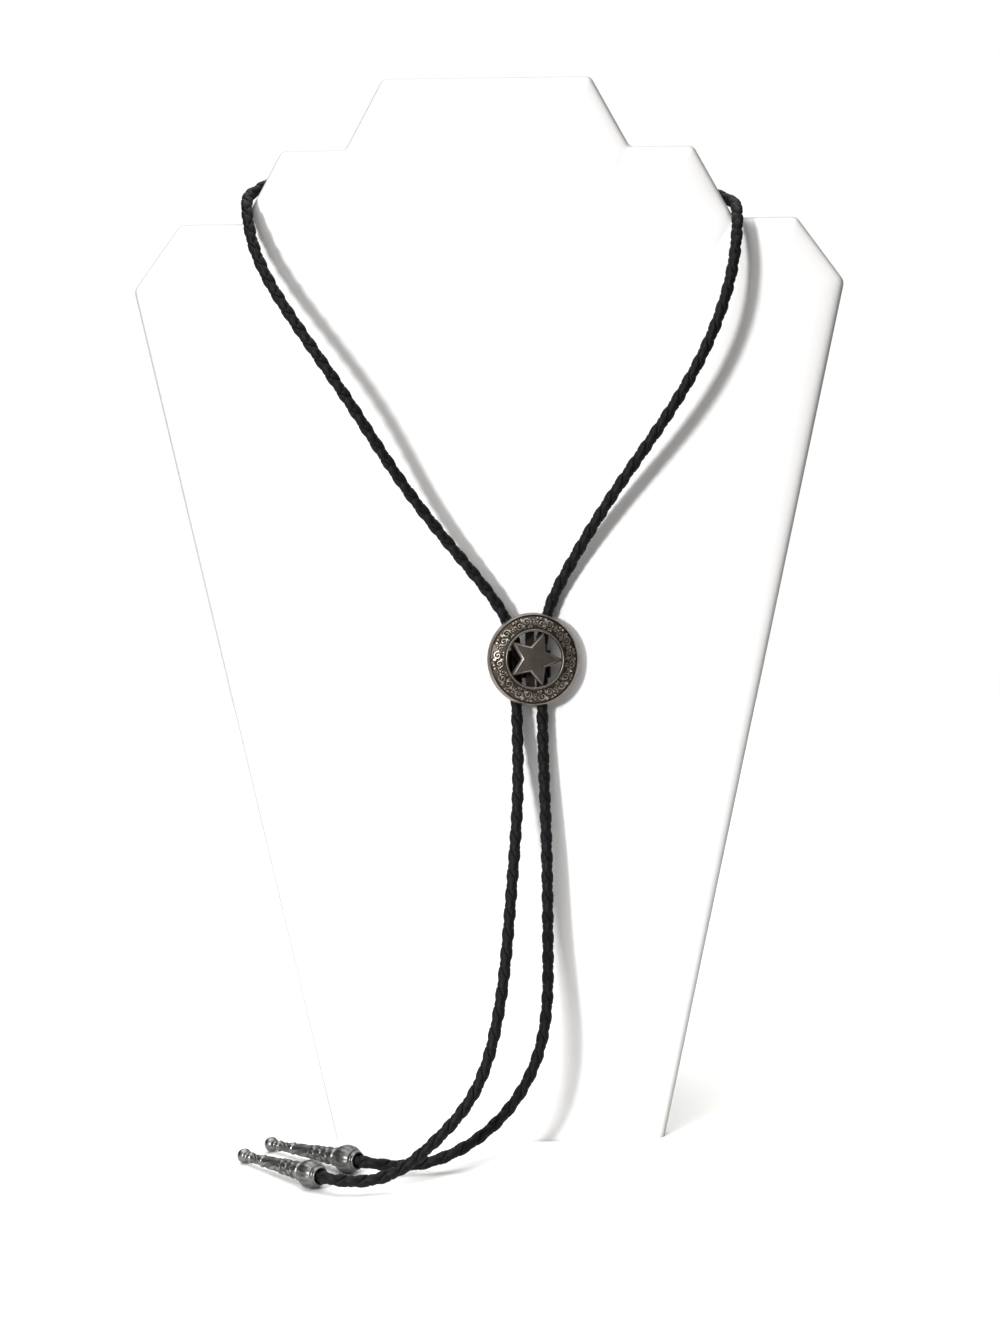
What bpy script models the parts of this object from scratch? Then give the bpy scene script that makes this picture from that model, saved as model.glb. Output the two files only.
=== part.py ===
# Bolo tie: one braided cord, a star concho that slides on it, and two cast tips.
# The tie hangs on a stepped, padded display board that leans back on an easel leg.
# Frame: metres, +Z up, +X to the viewer's right, -Y towards the viewer.
# The origin is the middle of the board's flat underside.

import math

import bmesh
import bpy
import numpy as np
from mathutils import Matrix, Vector

MM = 0.001
GAP = 0.3 * MM

# Display board, measured up its sloping front face
BOARD_LEAN = math.radians(8.0)
BOARD_THICK = 9.0 * MM
BOARD_SKIRT = 14.0 * MM
CORNER_CUT = 1.6 * MM
BOARD_STEPS = (
    # height up the face, half width
    (0.0 * MM, 54.0 * MM),
    (282.0 * MM, 117.5 * MM),
    (303.5 * MM, 102.0 * MM),
    (303.5 * MM, 81.2 * MM),
    (327.5 * MM, 68.2 * MM),
    (327.5 * MM, 47.2 * MM),
    (351.0 * MM, 34.5 * MM),
)
BOARD_EDGE = (
    # inset from the outline, depth behind the front face
    (10.0 * MM, 0.0 * MM),
    (6.0 * MM, 0.25 * MM),
    (3.0 * MM, 0.9 * MM),
    (1.0 * MM, 2.2 * MM),
    (0.0 * MM, 4.2 * MM),
    (0.0 * MM, 8.2 * MM),
    (0.8 * MM, 9.0 * MM),
)

# Easel leg: a flap glued to the board's back, and the strut that folds out of it
LEG_HINGE = 232.0 * MM
LEG_FLAP = 26.0 * MM
LEG_THICK = 3.2 * MM
LEG_SPREAD = math.radians(17.0)
LEG_TOP_WIDTH = 56.0 * MM
LEG_FOOT_WIDTH = 74.0 * MM

# Slide: where its disc's back plane is, and how far it is turned to the right
SLIDE_X = 12.6 * MM
SLIDE_UP = 158.0 * MM
SLIDE_OFF = 6.2 * MM
SLIDE_TURN = math.radians(12.0)

# Concho: a shallow cast dome, pierced round a five-pointed star
DOME_RADIUS = 15.25 * MM
EYE_RADIUS = 9.1 * MM
BAND_INNER = 10.35 * MM
BAND_OUTER = 13.6 * MM
BAND_TOP = 3.45 * MM
BAND_FALL = 0.42
RELIEF_HEIGHT = 0.32 * MM
MOTIFS = 14
COLUMNS_PER_MOTIF = 10
STAR_POINT = 9.9 * MM
STAR_VALLEY = 4.45 * MM
STAR_BEVEL = 0.65 * MM
STAR_BACK = 2.45 * MM
STAR_EDGE = 2.9 * MM
STAR_TOP = 3.55 * MM
STAR_ANGLE = math.radians(70.0)

# Cord clip: one bent strip that holds both strands behind the disc
CLIP_SHIFT = -0.8 * MM
CLIP_HALF_PITCH = 4.3 * MM
CLIP_FOOT = -6.0 * MM
CLIP_HEAD = 3.0 * MM
CLIP_SHEET = 0.6 * MM
TONGUE_HALF_WIDTH = 1.45 * MM
TONGUE_LENGTH = 27.6 * MM

# Cord: 4 mm round braid
CORD_RADIUS = 2.0 * MM
CORD_POINTS = 80
STRAND_DEPTH = CORD_RADIUS + GAP
STRAND_STATIONS = (-15.0 * MM, -6.0 * MM, 3.0 * MM)
BEND_WEIGHT = 12.0 * MM

# Tips: ball, tapering shank and fluted bead, along the tip's own axis
TIP_COLUMNS = 28
BALL_RADIUS = 2.4 * MM
BEAD_RADIUS = 4.5 * MM
BEAD_PLACE = 34.5 * MM
FLUTE_DEPTH = 0.16 * MM
TIP_PROFILE = (
    # distance from the ball's centre towards the cord, radius
    (-2.1 * MM, 1.1 * MM),
    (-1.3 * MM, 2.0 * MM),
    (0.0 * MM, 2.4 * MM),
    (1.3 * MM, 2.0 * MM),
    (2.1 * MM, 1.15 * MM),
    (3.2 * MM, 1.35 * MM),
    (3.9 * MM, 1.75 * MM),
    (4.6 * MM, 1.4 * MM),
    (9.5 * MM, 1.6 * MM),
    (10.2 * MM, 1.95 * MM),
    (10.9 * MM, 1.7 * MM),
    (14.0 * MM, 1.9 * MM),
    (17.0 * MM, 2.05 * MM),
    (20.0 * MM, 2.2 * MM),
    (23.0 * MM, 2.35 * MM),
    (26.0 * MM, 2.5 * MM),
    (28.7 * MM, 2.6 * MM),
    (29.4 * MM, 3.0 * MM),
    (30.1 * MM, 2.7 * MM),
    (31.5 * MM, 3.65 * MM),
    (33.0 * MM, 4.3 * MM),
    (34.5 * MM, 4.5 * MM),
    (36.0 * MM, 4.3 * MM),
    (37.5 * MM, 3.6 * MM),
    (38.1 * MM, 2.9 * MM),
    (38.7 * MM, 2.95 * MM),
    (39.1 * MM, 2.75 * MM),
)
FLUTED_FROM = 30.8 * MM
FLUTED_TO = 37.8 * MM
LEAVES_FROM = 12.0 * MM
LEAVES_TO = 27.0 * MM
LEAF_HEIGHT = 0.22 * MM
LEAVES_ROUND = 4
LEAF_PITCH = 6.0 * MM
FRONT_TIP_BEAD = (-58.8 * MM, -48.8 * MM)
FRONT_TIP_HEADING = math.radians(132.7)
REAR_TIP_BEAD = (-48.3 * MM, -34.3 * MM)
REAR_TIP_HEADING = math.radians(139.5)
TIP_LEAD = 3.0 * MM

# The cord's route in three stretches, in millimetres: x, distance in front of the
# board's face, height above the floor
FRONT_TAIL = (
    (-47.4, 52.1, 4.5),
    (-34.2, 50.9, 5.9),
    (-21.0, 49.7, 14.7),
    (-8.1, 44.2, 28.2),
    (-0.8, 38.0, 47.4),
    (4.5, 23.2, 85.0),
    (7.2, 10.7, 118.5),
)
LEFT_STRAND = (
    (-6.8, 7.4, 186.0),
    (-27.8, 13.1, 213.6),
    (-45.2, 18.2, 241.2),
    (-64.7, 16.1, 270.2),
    (-77.0, 9.0, 294.0),
    (-79.4, 0.4, 306.8),
    (-78.2, -9.6, 310.6),
)
NECK_LOOP = (
    (-66.0, -18.0, 317.2),
    (0.0, -24.6, 325.4),
    (67.0, -18.9, 312.2),
)
RIGHT_STRAND = (
    (80.3, -9.8, 306.0),
    (81.8, 0.4, 302.8),
    (79.6, 11.0, 285.2),
    (62.0, 14.0, 243.4),
    (40.8, 8.7, 212.4),
    (24.0, 3.4, 185.2),
    (18.5, 2.4, 174.0),
)
REAR_TAIL = (
    (16.3, 7.6, 94.0),
    (16.2, 10.9, 63.8),
    (13.1, 19.2, 35.4),
    (-0.6, 28.6, 15.2),
    (-20.0, 32.0, 4.4),
    (-35.0, 34.6, 3.6),
)

FACE_SETBACK = BOARD_THICK / 2 / math.cos(BOARD_LEAN)
FACE_UP = Vector((0.0, math.sin(BOARD_LEAN), math.cos(BOARD_LEAN)))
FACE_OUT = Vector((0.0, -math.cos(BOARD_LEAN), math.sin(BOARD_LEAN)))


def board_point(x, up, off):
    """World point at x, a height up the sloping face and a distance in front of it."""
    foot = Vector((x, -FACE_SETBACK, 0.0))
    return foot + FACE_UP * up + FACE_OUT * off


def slide_frame():
    """Matrix of the slide: X across the disc, Y up the board, Z out of the disc's front."""
    out = FACE_OUT * math.cos(SLIDE_TURN) + Vector((math.sin(SLIDE_TURN), 0.0, 0.0))
    across = FACE_UP.cross(out)
    place = board_point(SLIDE_X, SLIDE_UP, SLIDE_OFF)
    turn = Matrix((across, FACE_UP, out)).transposed()
    return Matrix.Translation(place) @ turn.to_4x4()


def new_material(name, colour, roughness, metallic=0.0):
    """Principled material from an sRGB-like linear colour, roughness and metallic value."""
    material = bpy.data.materials.new(name)
    material.use_nodes = True
    shader = material.node_tree.nodes["Principled BSDF"]
    shader.inputs["Base Color"].default_value = (*colour, 1.0)
    shader.inputs["Roughness"].default_value = roughness
    shader.inputs["Metallic"].default_value = metallic
    return material


def object_from_bmesh(name, bm, material, matrix=None, smooth_angle=None):
    """Turn a bmesh into a named object with outward faces and one material."""
    bmesh.ops.recalc_face_normals(bm, faces=bm.faces)
    mesh = bpy.data.meshes.new(name)
    bm.to_mesh(mesh)
    bm.free()
    mesh.materials.append(material)
    if smooth_angle is not None:
        mesh.shade_smooth()
        mesh.set_sharp_from_angle(angle=smooth_angle)
    piece = bpy.data.objects.new(name, mesh)
    if matrix is not None:
        piece.matrix_world = matrix
    bpy.context.scene.collection.objects.link(piece)
    return piece


def skin_rings(bm, rings, close_round=True, cap_ends=True, join_ends=False):
    """Quads between rings of points, with the ends capped or joined to each other."""
    verts = [[bm.verts.new(point) for point in ring] for ring in rings]
    count = len(verts[0])
    pairs = list(zip(verts, verts[1:]))
    if join_ends:
        pairs.append((verts[-1], verts[0]))
    steps = count if close_round else count - 1
    for lower, upper in pairs:
        for i in range(steps):
            j = (i + 1) % count
            bm.faces.new((lower[i], lower[j], upper[j], upper[i]))
    if cap_ends:
        bm.faces.new(verts[0][::-1])
        bm.faces.new(verts[-1])
    return verts


def inset_outline(points, distance):
    """Move each side of a counter-clockwise outline inwards, with mitred corners."""
    corners = np.array(points)
    ahead = np.roll(corners, -1, axis=0) - corners
    ahead /= np.linalg.norm(ahead, axis=1)[:, None]
    inward = np.stack([-ahead[:, 1], ahead[:, 0]], axis=1)
    before = np.roll(inward, 1, axis=0)
    share = 1.0 + np.sum(inward * before, axis=1)
    return corners + distance * (inward + before) / share[:, None]


def cut_corners(points, cut):
    """Round each corner with three points of a parabola that starts a cut away."""
    corners = np.array(points)
    rounded = []
    for i, corner in enumerate(corners):
        back = corners[i - 1] - corner
        on = corners[(i + 1) % len(corners)] - corner
        start = corner + cut * back / np.linalg.norm(back)
        end = corner + cut * on / np.linalg.norm(on)
        rounded += [start, (start + 2.0 * corner + end) / 4.0, end]
    return rounded


def board_outline():
    """Counter-clockwise outline of the board, run on below the floor by a skirt."""
    foot_half = BOARD_STEPS[0][1]
    rise = BOARD_STEPS[1][0]
    flare = (BOARD_STEPS[1][1] - foot_half) / rise
    right = [(foot_half - flare * BOARD_SKIRT, -BOARD_SKIRT)]
    right += [(half, height) for height, half in BOARD_STEPS[1:]]
    left = [(-x, up) for x, up in reversed(right)]
    return right + left


def make_display_board(material):
    """Padded board: the outline's inset rings, one behind the other, cut flat at the floor."""
    bm = bmesh.new()
    outline = board_outline()
    rings = []
    for inset, depth in BOARD_EDGE:
        ring = cut_corners(inset_outline(outline, inset), CORNER_CUT)
        rings.append([board_point(x, up, -depth) for x, up in ring])
    skin_rings(bm, rings)
    everything = bm.verts[:] + bm.edges[:] + bm.faces[:]
    bmesh.ops.bisect_plane(bm, geom=everything, plane_co=(0.0, 0.0, 0.0),
                           plane_no=(0.0, 0.0, -1.0), clear_outer=True)
    rim = [edge for edge in bm.edges if edge.is_boundary]
    bmesh.ops.edgeloop_fill(bm, edges=rim)
    return object_from_bmesh("display_board", bm, material, smooth_angle=math.radians(50))


def line_meeting(point_a, along_a, point_b, along_b):
    """Meeting point of two lines in a plane."""
    matrix = np.column_stack([along_a, -np.array(along_b)])
    step = np.linalg.solve(matrix, np.array(point_b) - np.array(point_a))
    return np.array(point_a) + step[0] * np.array(along_a)


def make_easel_leg(material):
    """Bent strut: side outline in the Y-Z plane, wider at the foot than at the flap."""
    flap_back = BOARD_THICK + GAP
    flap_front = [board_point(0.0, up, -flap_back).yz
                  for up in (LEG_HINGE + LEG_FLAP, LEG_HINGE)]
    flap_rear = board_point(0.0, LEG_HINGE + LEG_FLAP, -flap_back - LEG_THICK).yz
    down = np.array([math.sin(LEG_SPREAD), -math.cos(LEG_SPREAD)])
    outward = np.array([math.cos(LEG_SPREAD), math.sin(LEG_SPREAD)])
    hinge = np.array(flap_front[1])
    rear_start = hinge + LEG_THICK * outward
    elbow = line_meeting(flap_rear, FACE_UP.yz, rear_start, down)
    floor = (np.array([0.0, 0.0]), np.array([1.0, 0.0]))
    foot_front = line_meeting(hinge, down, *floor)
    foot_rear = line_meeting(rear_start, down, *floor)
    side = [flap_front[0], hinge, foot_front, foot_rear, elbow, flap_rear]
    top = flap_front[0][1]
    bm = bmesh.new()
    rings = []
    for hand in (-1.0, 1.0):
        widths = [LEG_FOOT_WIDTH + (LEG_TOP_WIDTH - LEG_FOOT_WIDTH) * z / top for _, z in side]
        rings.append([Vector((hand * w / 2, y, z)) for w, (y, z) in zip(widths, side)])
    skin_rings(bm, rings)
    return object_from_bmesh("easel_leg", bm, material)


def scroll_relief(turn, radius):
    """Height of the scrollwork at an angle and a radius.

    Fourteen rosettes sit on the middle of the band. A pair of curled leaves fills each
    space between two rosettes, one from the inner edge and one from the outer edge.
    """
    middle = (BAND_INNER + BAND_OUTER) / 2
    phase = (turn * MOTIFS / (2 * math.pi)) % 1.0 - 0.5
    along = phase * 2 * math.pi * middle / MOTIFS
    across = radius - middle
    from_rosette = np.hypot(along, across)
    rosette = np.clip(1.25 - from_rosette / (0.95 * MM), 0.0, 1.0)
    side = np.where(along > 0, along - 2.7 * MM, along + 2.7 * MM)
    curl = np.abs(np.hypot(side, across) - 0.95 * MM)
    leaf = np.clip(1.1 - curl / (0.42 * MM), 0.0, 1.0)
    return RELIEF_HEIGHT * np.maximum(rosette, 0.85 * leaf)


def dome_section(turn):
    """Closed section of the dome at one angle: pairs of radius and height."""
    rows = np.linspace(BAND_INNER, BAND_OUTER, 7)
    heights = BAND_TOP - BAND_FALL * (rows - BAND_INNER)
    raised = heights + scroll_relief(turn, rows)
    raised[0] = heights[0]
    raised[-1] = heights[-1]
    section = [
        (EYE_RADIUS, 2.3 * MM),
        (EYE_RADIUS, 3.65 * MM),
        (EYE_RADIUS + 0.25 * MM, 3.95 * MM),
        (BAND_INNER - 0.25 * MM, 3.9 * MM),
    ]
    section += list(zip(rows, raised))
    section += [
        (BAND_OUTER + 0.25 * MM, 2.3 * MM),
        (DOME_RADIUS - 0.6 * MM, 1.75 * MM),
        (DOME_RADIUS, 1.0 * MM),
        (DOME_RADIUS, 0.25 * MM),
        (DOME_RADIUS - 0.25 * MM, 0.0),
        (13.1 * MM, 0.0),
        (12.5 * MM, 1.0 * MM),
        (10.6 * MM, 2.1 * MM),
    ]
    return section


def make_star(matrix):
    """Five-pointed star with a bevelled edge, a solid that the dome is joined to."""
    corners = []
    for i in range(10):
        radius = STAR_POINT if i % 2 == 0 else STAR_VALLEY
        angle = STAR_ANGLE + i * math.pi / 5
        corners.append((radius * math.cos(angle), radius * math.sin(angle)))
    rings = []
    for inset, height in ((0.0, STAR_BACK), (0.0, STAR_EDGE), (STAR_BEVEL, STAR_TOP)):
        rings.append([Vector((x, y, height)) for x, y in inset_outline(corners, inset)])
    bm = bmesh.new()
    skin_rings(bm, rings)
    star = object_from_bmesh("star_blank", bm, bpy.data.materials["cast_silver"], matrix)
    star.hide_render = True
    star.display_type = "WIRE"
    return star


def make_concho(material, matrix):
    """Dome: its section at each angle is a ring, and the rings close on each other."""
    columns = MOTIFS * COLUMNS_PER_MOTIF
    rings = []
    for i in range(columns):
        turn = 2 * math.pi * i / columns
        ring = [Vector((r * math.cos(turn), r * math.sin(turn), z))
                for r, z in dome_section(turn)]
        rings.append(ring)
    bm = bmesh.new()
    skin_rings(bm, rings, cap_ends=False, join_ends=True)
    concho = object_from_bmesh("concho", bm, material, matrix, math.radians(35))
    joining = concho.modifiers.new("star", "BOOLEAN")
    joining.operation = "UNION"
    joining.solver = "EXACT"
    joining.object = make_star(matrix)
    return concho


def strip_outline(centre_line, thickness):
    """Closed outline of a bent strip: its centre line moved half a thickness each way."""
    line = np.array(centre_line)
    ahead = np.diff(line, axis=0)
    ahead /= np.linalg.norm(ahead, axis=1)[:, None]
    side = np.stack([-ahead[:, 1], ahead[:, 0]], axis=1)
    before = np.vstack([side[:1], side])
    after = np.vstack([side, side[-1:]])
    share = 1.0 + np.sum(before * after, axis=1)
    offset = thickness / 2 * (before + after) / share[:, None]
    return np.vstack([line + offset, (line - offset)[::-1]])


def clip_half_line():
    """Right half of the clip's section, from the tongue round behind one strand."""
    bend = STRAND_DEPTH + CLIP_SHEET / 2
    half = [(TONGUE_HALF_WIDTH - 0.3 * MM, -0.7 * MM)]
    for degrees in (200, 225, 255, 285, 315, 345, 370):
        angle = math.radians(degrees)
        x = CLIP_HALF_PITCH + bend * math.cos(angle)
        z = -STRAND_DEPTH + bend * math.sin(angle)
        half.append((x, z))
    return half


def make_cord_clip(material, matrix):
    """Bent strip with a channel behind each strand, and the tongue between them."""
    right = clip_half_line()
    left = [(-x, z) for x, z in reversed(right)]
    outline = strip_outline(left + right, CLIP_SHEET)
    bm = bmesh.new()
    rings = []
    for y in (CLIP_FOOT, CLIP_HEAD):
        rings.append([Vector((x + CLIP_SHIFT, y, z)) for x, z in outline])
    skin_rings(bm, rings)
    clip = object_from_bmesh("cord_clip", bm, material, matrix)
    tongue_bm = bmesh.new()
    bmesh.ops.create_cube(tongue_bm, size=1.0)
    size = (2 * TONGUE_HALF_WIDTH, TONGUE_LENGTH, CLIP_SHEET)
    middle = Vector((CLIP_SHIFT, 0.0, -0.65 * MM))
    bmesh.ops.scale(tongue_bm, vec=size, verts=tongue_bm.verts)
    bmesh.ops.translate(tongue_bm, vec=middle, verts=tongue_bm.verts)
    tongue = object_from_bmesh("tongue_blank", tongue_bm, material, matrix)
    tongue.hide_render = True
    tongue.display_type = "WIRE"
    joining = clip.modifiers.new("tongue", "BOOLEAN")
    joining.operation = "UNION"
    joining.solver = "EXACT"
    joining.object = tongue
    return clip


def tip_frame(bead, heading):
    """Matrix of a tip that lies on the floor: X runs from its ball to its bead."""
    fall = math.asin((BEAD_RADIUS - BALL_RADIUS) / BEAD_PLACE)
    towards_ball = Vector((math.cos(heading) * math.cos(fall),
                           math.sin(heading) * math.cos(fall), -math.sin(fall)))
    along = -towards_ball
    across = Vector((0.0, 0.0, 1.0)).cross(along).normalized()
    up = along.cross(across)
    ball = Vector((bead[0], bead[1], BEAD_RADIUS)) + BEAD_PLACE * towards_ball
    turn = Matrix((along, across, up)).transposed()
    return Matrix.Translation(ball) @ turn.to_4x4()


def tip_radius(place, radius, turn):
    """Radius of a tip at one angle, with flutes on the bead and raised leaves on the shank."""
    if FLUTED_FROM < place < FLUTED_TO:
        return radius - FLUTE_DEPTH * 0.5 * (1.0 - math.cos(turn * TIP_COLUMNS / 2))
    if LEAVES_FROM < place < LEAVES_TO:
        wave = math.cos(LEAVES_ROUND * turn + 2 * math.pi * place / LEAF_PITCH)
        return radius + LEAF_HEIGHT * max(wave, 0.0)
    return radius


def make_tip(name, material, matrix):
    """Cast tip, turned from its profile."""
    rings = []
    for place, radius in TIP_PROFILE:
        ring = []
        for i in range(TIP_COLUMNS):
            turn = 2 * math.pi * i / TIP_COLUMNS
            r = tip_radius(place, radius, turn)
            ring.append(Vector((place, r * math.cos(turn), r * math.sin(turn))))
        rings.append(ring)
    bm = bmesh.new()
    skin_rings(bm, rings)
    return object_from_bmesh(name, bm, material, matrix, math.radians(40))


def strand_point(slide, hand, up):
    """Centre of a strand inside the clip; hand is -1 for the left and 1 for the right."""
    x = CLIP_SHIFT + hand * CLIP_HALF_PITCH
    return slide @ Vector((x, up, -STRAND_DEPTH))


def tip_leads(matrix):
    """The cord's end at a tip's mouth, and a point straight behind it."""
    mouth = TIP_PROFILE[-1][0] + GAP
    return [matrix @ Vector((mouth + step, 0.0, 0.0)) for step in (0.0, TIP_LEAD)]


def placed(rows):
    """World points of route rows given as x, distance in front of the face, height."""
    slope = math.tan(BOARD_LEAN)
    return [Vector((x, z * slope - off, z)) * MM - Vector((0.0, FACE_SETBACK, 0.0))
            for x, off, z in rows]


def cord_route(slide, front_tip, rear_tip):
    """All points that the cord passes, from the front tip round the neck to the rear tip."""
    left = [strand_point(slide, -1.0, up) for up in STRAND_STATIONS]
    right = [strand_point(slide, 1.0, up) for up in reversed(STRAND_STATIONS)]
    route = tip_leads(front_tip) + placed(FRONT_TAIL) + left
    route += placed(LEFT_STRAND) + placed(NECK_LOOP) + placed(RIGHT_STRAND)
    route += right + placed(REAR_TAIL) + tip_leads(rear_tip)[::-1]
    return np.array([tuple(point) for point in route])


def spline_slopes(knots, values):
    """Slopes of the natural cubic spline through values at the knots."""
    steps = np.diff(knots)
    rises = np.diff(values, axis=0) / steps[:, None]
    count = len(knots)
    matrix = np.zeros((count, count))
    right = np.zeros_like(values)
    matrix[0, :2] = (2.0, 1.0)
    matrix[-1, -2:] = (1.0, 2.0)
    right[0] = 3.0 * rises[0]
    right[-1] = 3.0 * rises[-1]
    for i in range(1, count - 1):
        matrix[i, i - 1:i + 2] = (steps[i], 2.0 * (steps[i - 1] + steps[i]), steps[i - 1])
        right[i] = 3.0 * (steps[i] * rises[i - 1] + steps[i - 1] * rises[i])
    return np.linalg.solve(matrix, right)


def smooth_curve(route, steps):
    """The natural cubic spline through the route, with steps points from knot to knot."""
    chords = np.linalg.norm(np.diff(route, axis=0), axis=1)
    knots = np.concatenate([[0.0], np.cumsum(chords)])
    slopes = spline_slopes(knots, route)
    t = np.linspace(0.0, 1.0, steps, endpoint=False)[None, :, None]
    width = chords[:, None, None]
    start, end = route[:-1, None, :], route[1:, None, :]
    start_slope, end_slope = slopes[:-1, None, :] * width, slopes[1:, None, :] * width
    curve = (start * (1 + 2 * t) * (1 - t) ** 2 + start_slope * t * (1 - t) ** 2
             + end * t ** 2 * (3 - 2 * t) + end_slope * t ** 2 * (t - 1))
    return np.vstack([curve.reshape(-1, 3), route[-1:]])


def bend_effort(curve):
    """Running sum of length plus a weight times the angle turned, along a dense curve."""
    ahead = np.diff(curve, axis=0)
    lengths = np.linalg.norm(ahead, axis=1)
    ahead /= lengths[:, None]
    turned = np.linalg.norm(np.diff(ahead, axis=0), axis=1)
    turned = np.concatenate([[0.0], turned])
    return np.concatenate([[0.0], np.cumsum(lengths + BEND_WEIGHT * turned)])


def thinned_route(route, fixed, count):
    """About count points on the curve, closer where it bends, that keep the fixed ones."""
    steps = 60
    curve = smooth_curve(route, steps)
    effort = bend_effort(curve)
    marks = [effort[i * steps] for i in fixed]
    wanted = [marks[0]]
    for low, high in zip(marks, marks[1:]):
        pieces = max(1, round((high - low) / effort[-1] * (count - 1)))
        wanted += list(np.linspace(low, high, pieces + 1)[1:])
    return np.stack([np.interp(wanted, effort, curve[:, k]) for k in range(3)], axis=1)


def make_cord(material, route):
    """Plain round tube along the route, straight out of the tips and behind the disc."""
    up = len(FRONT_TAIL) + 2
    down = len(route) - len(REAR_TAIL) - 5
    last = len(route) - 1
    fixed = (0, 1, up, up + 1, up + 2, down, down + 1, down + 2, last - 1, last)
    curve = bpy.data.curves.new("bolo_cord", "CURVE")
    curve.dimensions = "3D"
    curve.bevel_depth = CORD_RADIUS
    curve.bevel_resolution = 3
    curve.use_fill_caps = True
    curve.materials.append(material)
    spline = curve.splines.new("POLY")
    points = thinned_route(route, fixed, CORD_POINTS)
    spline.points.add(len(points) - 1)
    for place, point in zip(spline.points, points):
        place.co = (*point, 1.0)
    cord = bpy.data.objects.new("bolo_cord", curve)
    bpy.context.scene.collection.objects.link(cord)
    return cord


def main():
    for item in list(bpy.data.objects):
        bpy.data.objects.remove(item)
    leatherette = new_material("white_leatherette", (0.86, 0.86, 0.85), 0.5)
    card = new_material("white_card", (0.78, 0.78, 0.77), 0.7)
    silver = new_material("cast_silver", (0.42, 0.40, 0.38), 0.3, 1.0)
    steel = new_material("sheet_steel", (0.45, 0.44, 0.43), 0.35, 1.0)
    leather = new_material("black_leather", (0.012, 0.012, 0.013), 0.45)
    slide = slide_frame()
    front_tip = tip_frame(FRONT_TIP_BEAD, FRONT_TIP_HEADING)
    rear_tip = tip_frame(REAR_TIP_BEAD, REAR_TIP_HEADING)
    make_display_board(leatherette)
    make_easel_leg(card)
    make_concho(silver, slide)
    make_cord_clip(steel, slide)
    make_tip("front_tip", silver, front_tip)
    make_tip("rear_tip", silver, rear_tip)
    make_cord(leather, cord_route(slide, front_tip, rear_tip))


main()
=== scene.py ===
# %% [markdown]
# # A bolo tie on its display board
#
# This lesson dresses a finished set of solids: a braided cord, a star slide, two cast
# tips and the white stepped board that carries them. Every solid keeps its size and
# place, and each step makes the surface that the eye sees. The first cell loads the
# solids and remembers how much room they take.

# %% Load the solids
import math

import bmesh
import bpy
import numpy as np
from mathutils import Matrix, Vector
from mathutils.geometry import delaunay_2d_cdt


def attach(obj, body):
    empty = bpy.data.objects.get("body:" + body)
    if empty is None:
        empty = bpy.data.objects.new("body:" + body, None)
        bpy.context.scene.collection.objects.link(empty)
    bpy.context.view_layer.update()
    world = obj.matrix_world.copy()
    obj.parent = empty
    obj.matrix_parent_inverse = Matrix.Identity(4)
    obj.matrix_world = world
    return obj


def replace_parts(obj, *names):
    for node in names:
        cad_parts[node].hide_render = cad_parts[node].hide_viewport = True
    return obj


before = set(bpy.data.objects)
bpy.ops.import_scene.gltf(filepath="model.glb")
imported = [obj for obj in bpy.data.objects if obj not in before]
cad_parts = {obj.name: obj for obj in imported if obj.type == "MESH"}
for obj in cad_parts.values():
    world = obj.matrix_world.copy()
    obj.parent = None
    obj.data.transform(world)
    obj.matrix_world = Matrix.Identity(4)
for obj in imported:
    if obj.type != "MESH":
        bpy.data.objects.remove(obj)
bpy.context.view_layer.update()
print("solids:", sorted(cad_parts))

# %% [markdown]
# All real sizes below are written in millimetres and multiplied by `MM`. Colours are
# written the way a picture editor shows them, as sRGB hex, and turned into the linear
# light that the shaders add up. Without that step every colour would come out too pale.

# %% Units and colours
MM = 0.001


def linear(colour):
    """Linear RGBA of sRGB hex text: c / 12.92 below 0.04045, else ((c + 0.055) / 1.055) ** 2.4."""
    channels = [int(colour[i:i + 2], 16) / 255 for i in (1, 3, 5)]
    return (*[c / 12.92 if c <= 0.04045 else ((c + 0.055) / 1.055) ** 2.4
              for c in channels], 1.0)


print("mid grey #808080 is", round(linear("#808080")[0], 3), "in linear light")

# %% [markdown]
# A material is a small network of nodes. Two helpers keep that readable: one starts a
# material with its shader, and one adds any node with its settings, values and links.

# %% Helpers for materials
def new_material(name):
    """An empty node material: its tree and its Principled shader."""
    material = bpy.data.materials.new(name)
    material.use_nodes = True
    tree = material.node_tree
    return material, tree, tree.nodes["Principled BSDF"]


def add(tree, kind, links=None, values=None, **settings):
    """Add a node. links: input name to output socket. values: input name to constant."""
    node = tree.nodes.new(kind)
    for name, value in settings.items():
        setattr(node, name, value)
    for name, value in (values or {}).items():
        node.inputs[name].default_value = value
    for name, socket in (links or {}).items():
        tree.links.new(socket, node.inputs[name])
    return node


print("material helpers ready")

# %% [markdown]
# Every new surface here is a grid: rows of points that numpy works out as whole arrays.
# The next helpers name the four corners of each cell of the grid and put the arrays
# into a Blender mesh in one go, which is far quicker than adding faces one at a time.

# %% Helpers for meshes
def grid_quads(rows, columns, closed=True):
    """Corner numbers of a grid's cells: (row, column), next column, next row and column, next row."""
    across = np.arange(columns if closed else columns - 1)
    low, left = np.meshgrid(np.arange(rows - 1), across, indexing="ij")
    right = (left + 1) % columns
    quads = np.stack([low * columns + left, low * columns + right,
                      (low + 1) * columns + right, (low + 1) * columns + left], axis=-1)
    return quads.reshape(-1, 4)


def faces_in(points, quads):
    """True if a closed skin's faces point inwards: its volume, a . (b x c) / 6 summed, is negative."""
    a, b, c, d = (np.asarray(points)[quads[:, k]] for k in range(4))
    return np.sum(a * np.cross(b, c)) + np.sum(a * np.cross(c, d)) < 0


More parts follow.
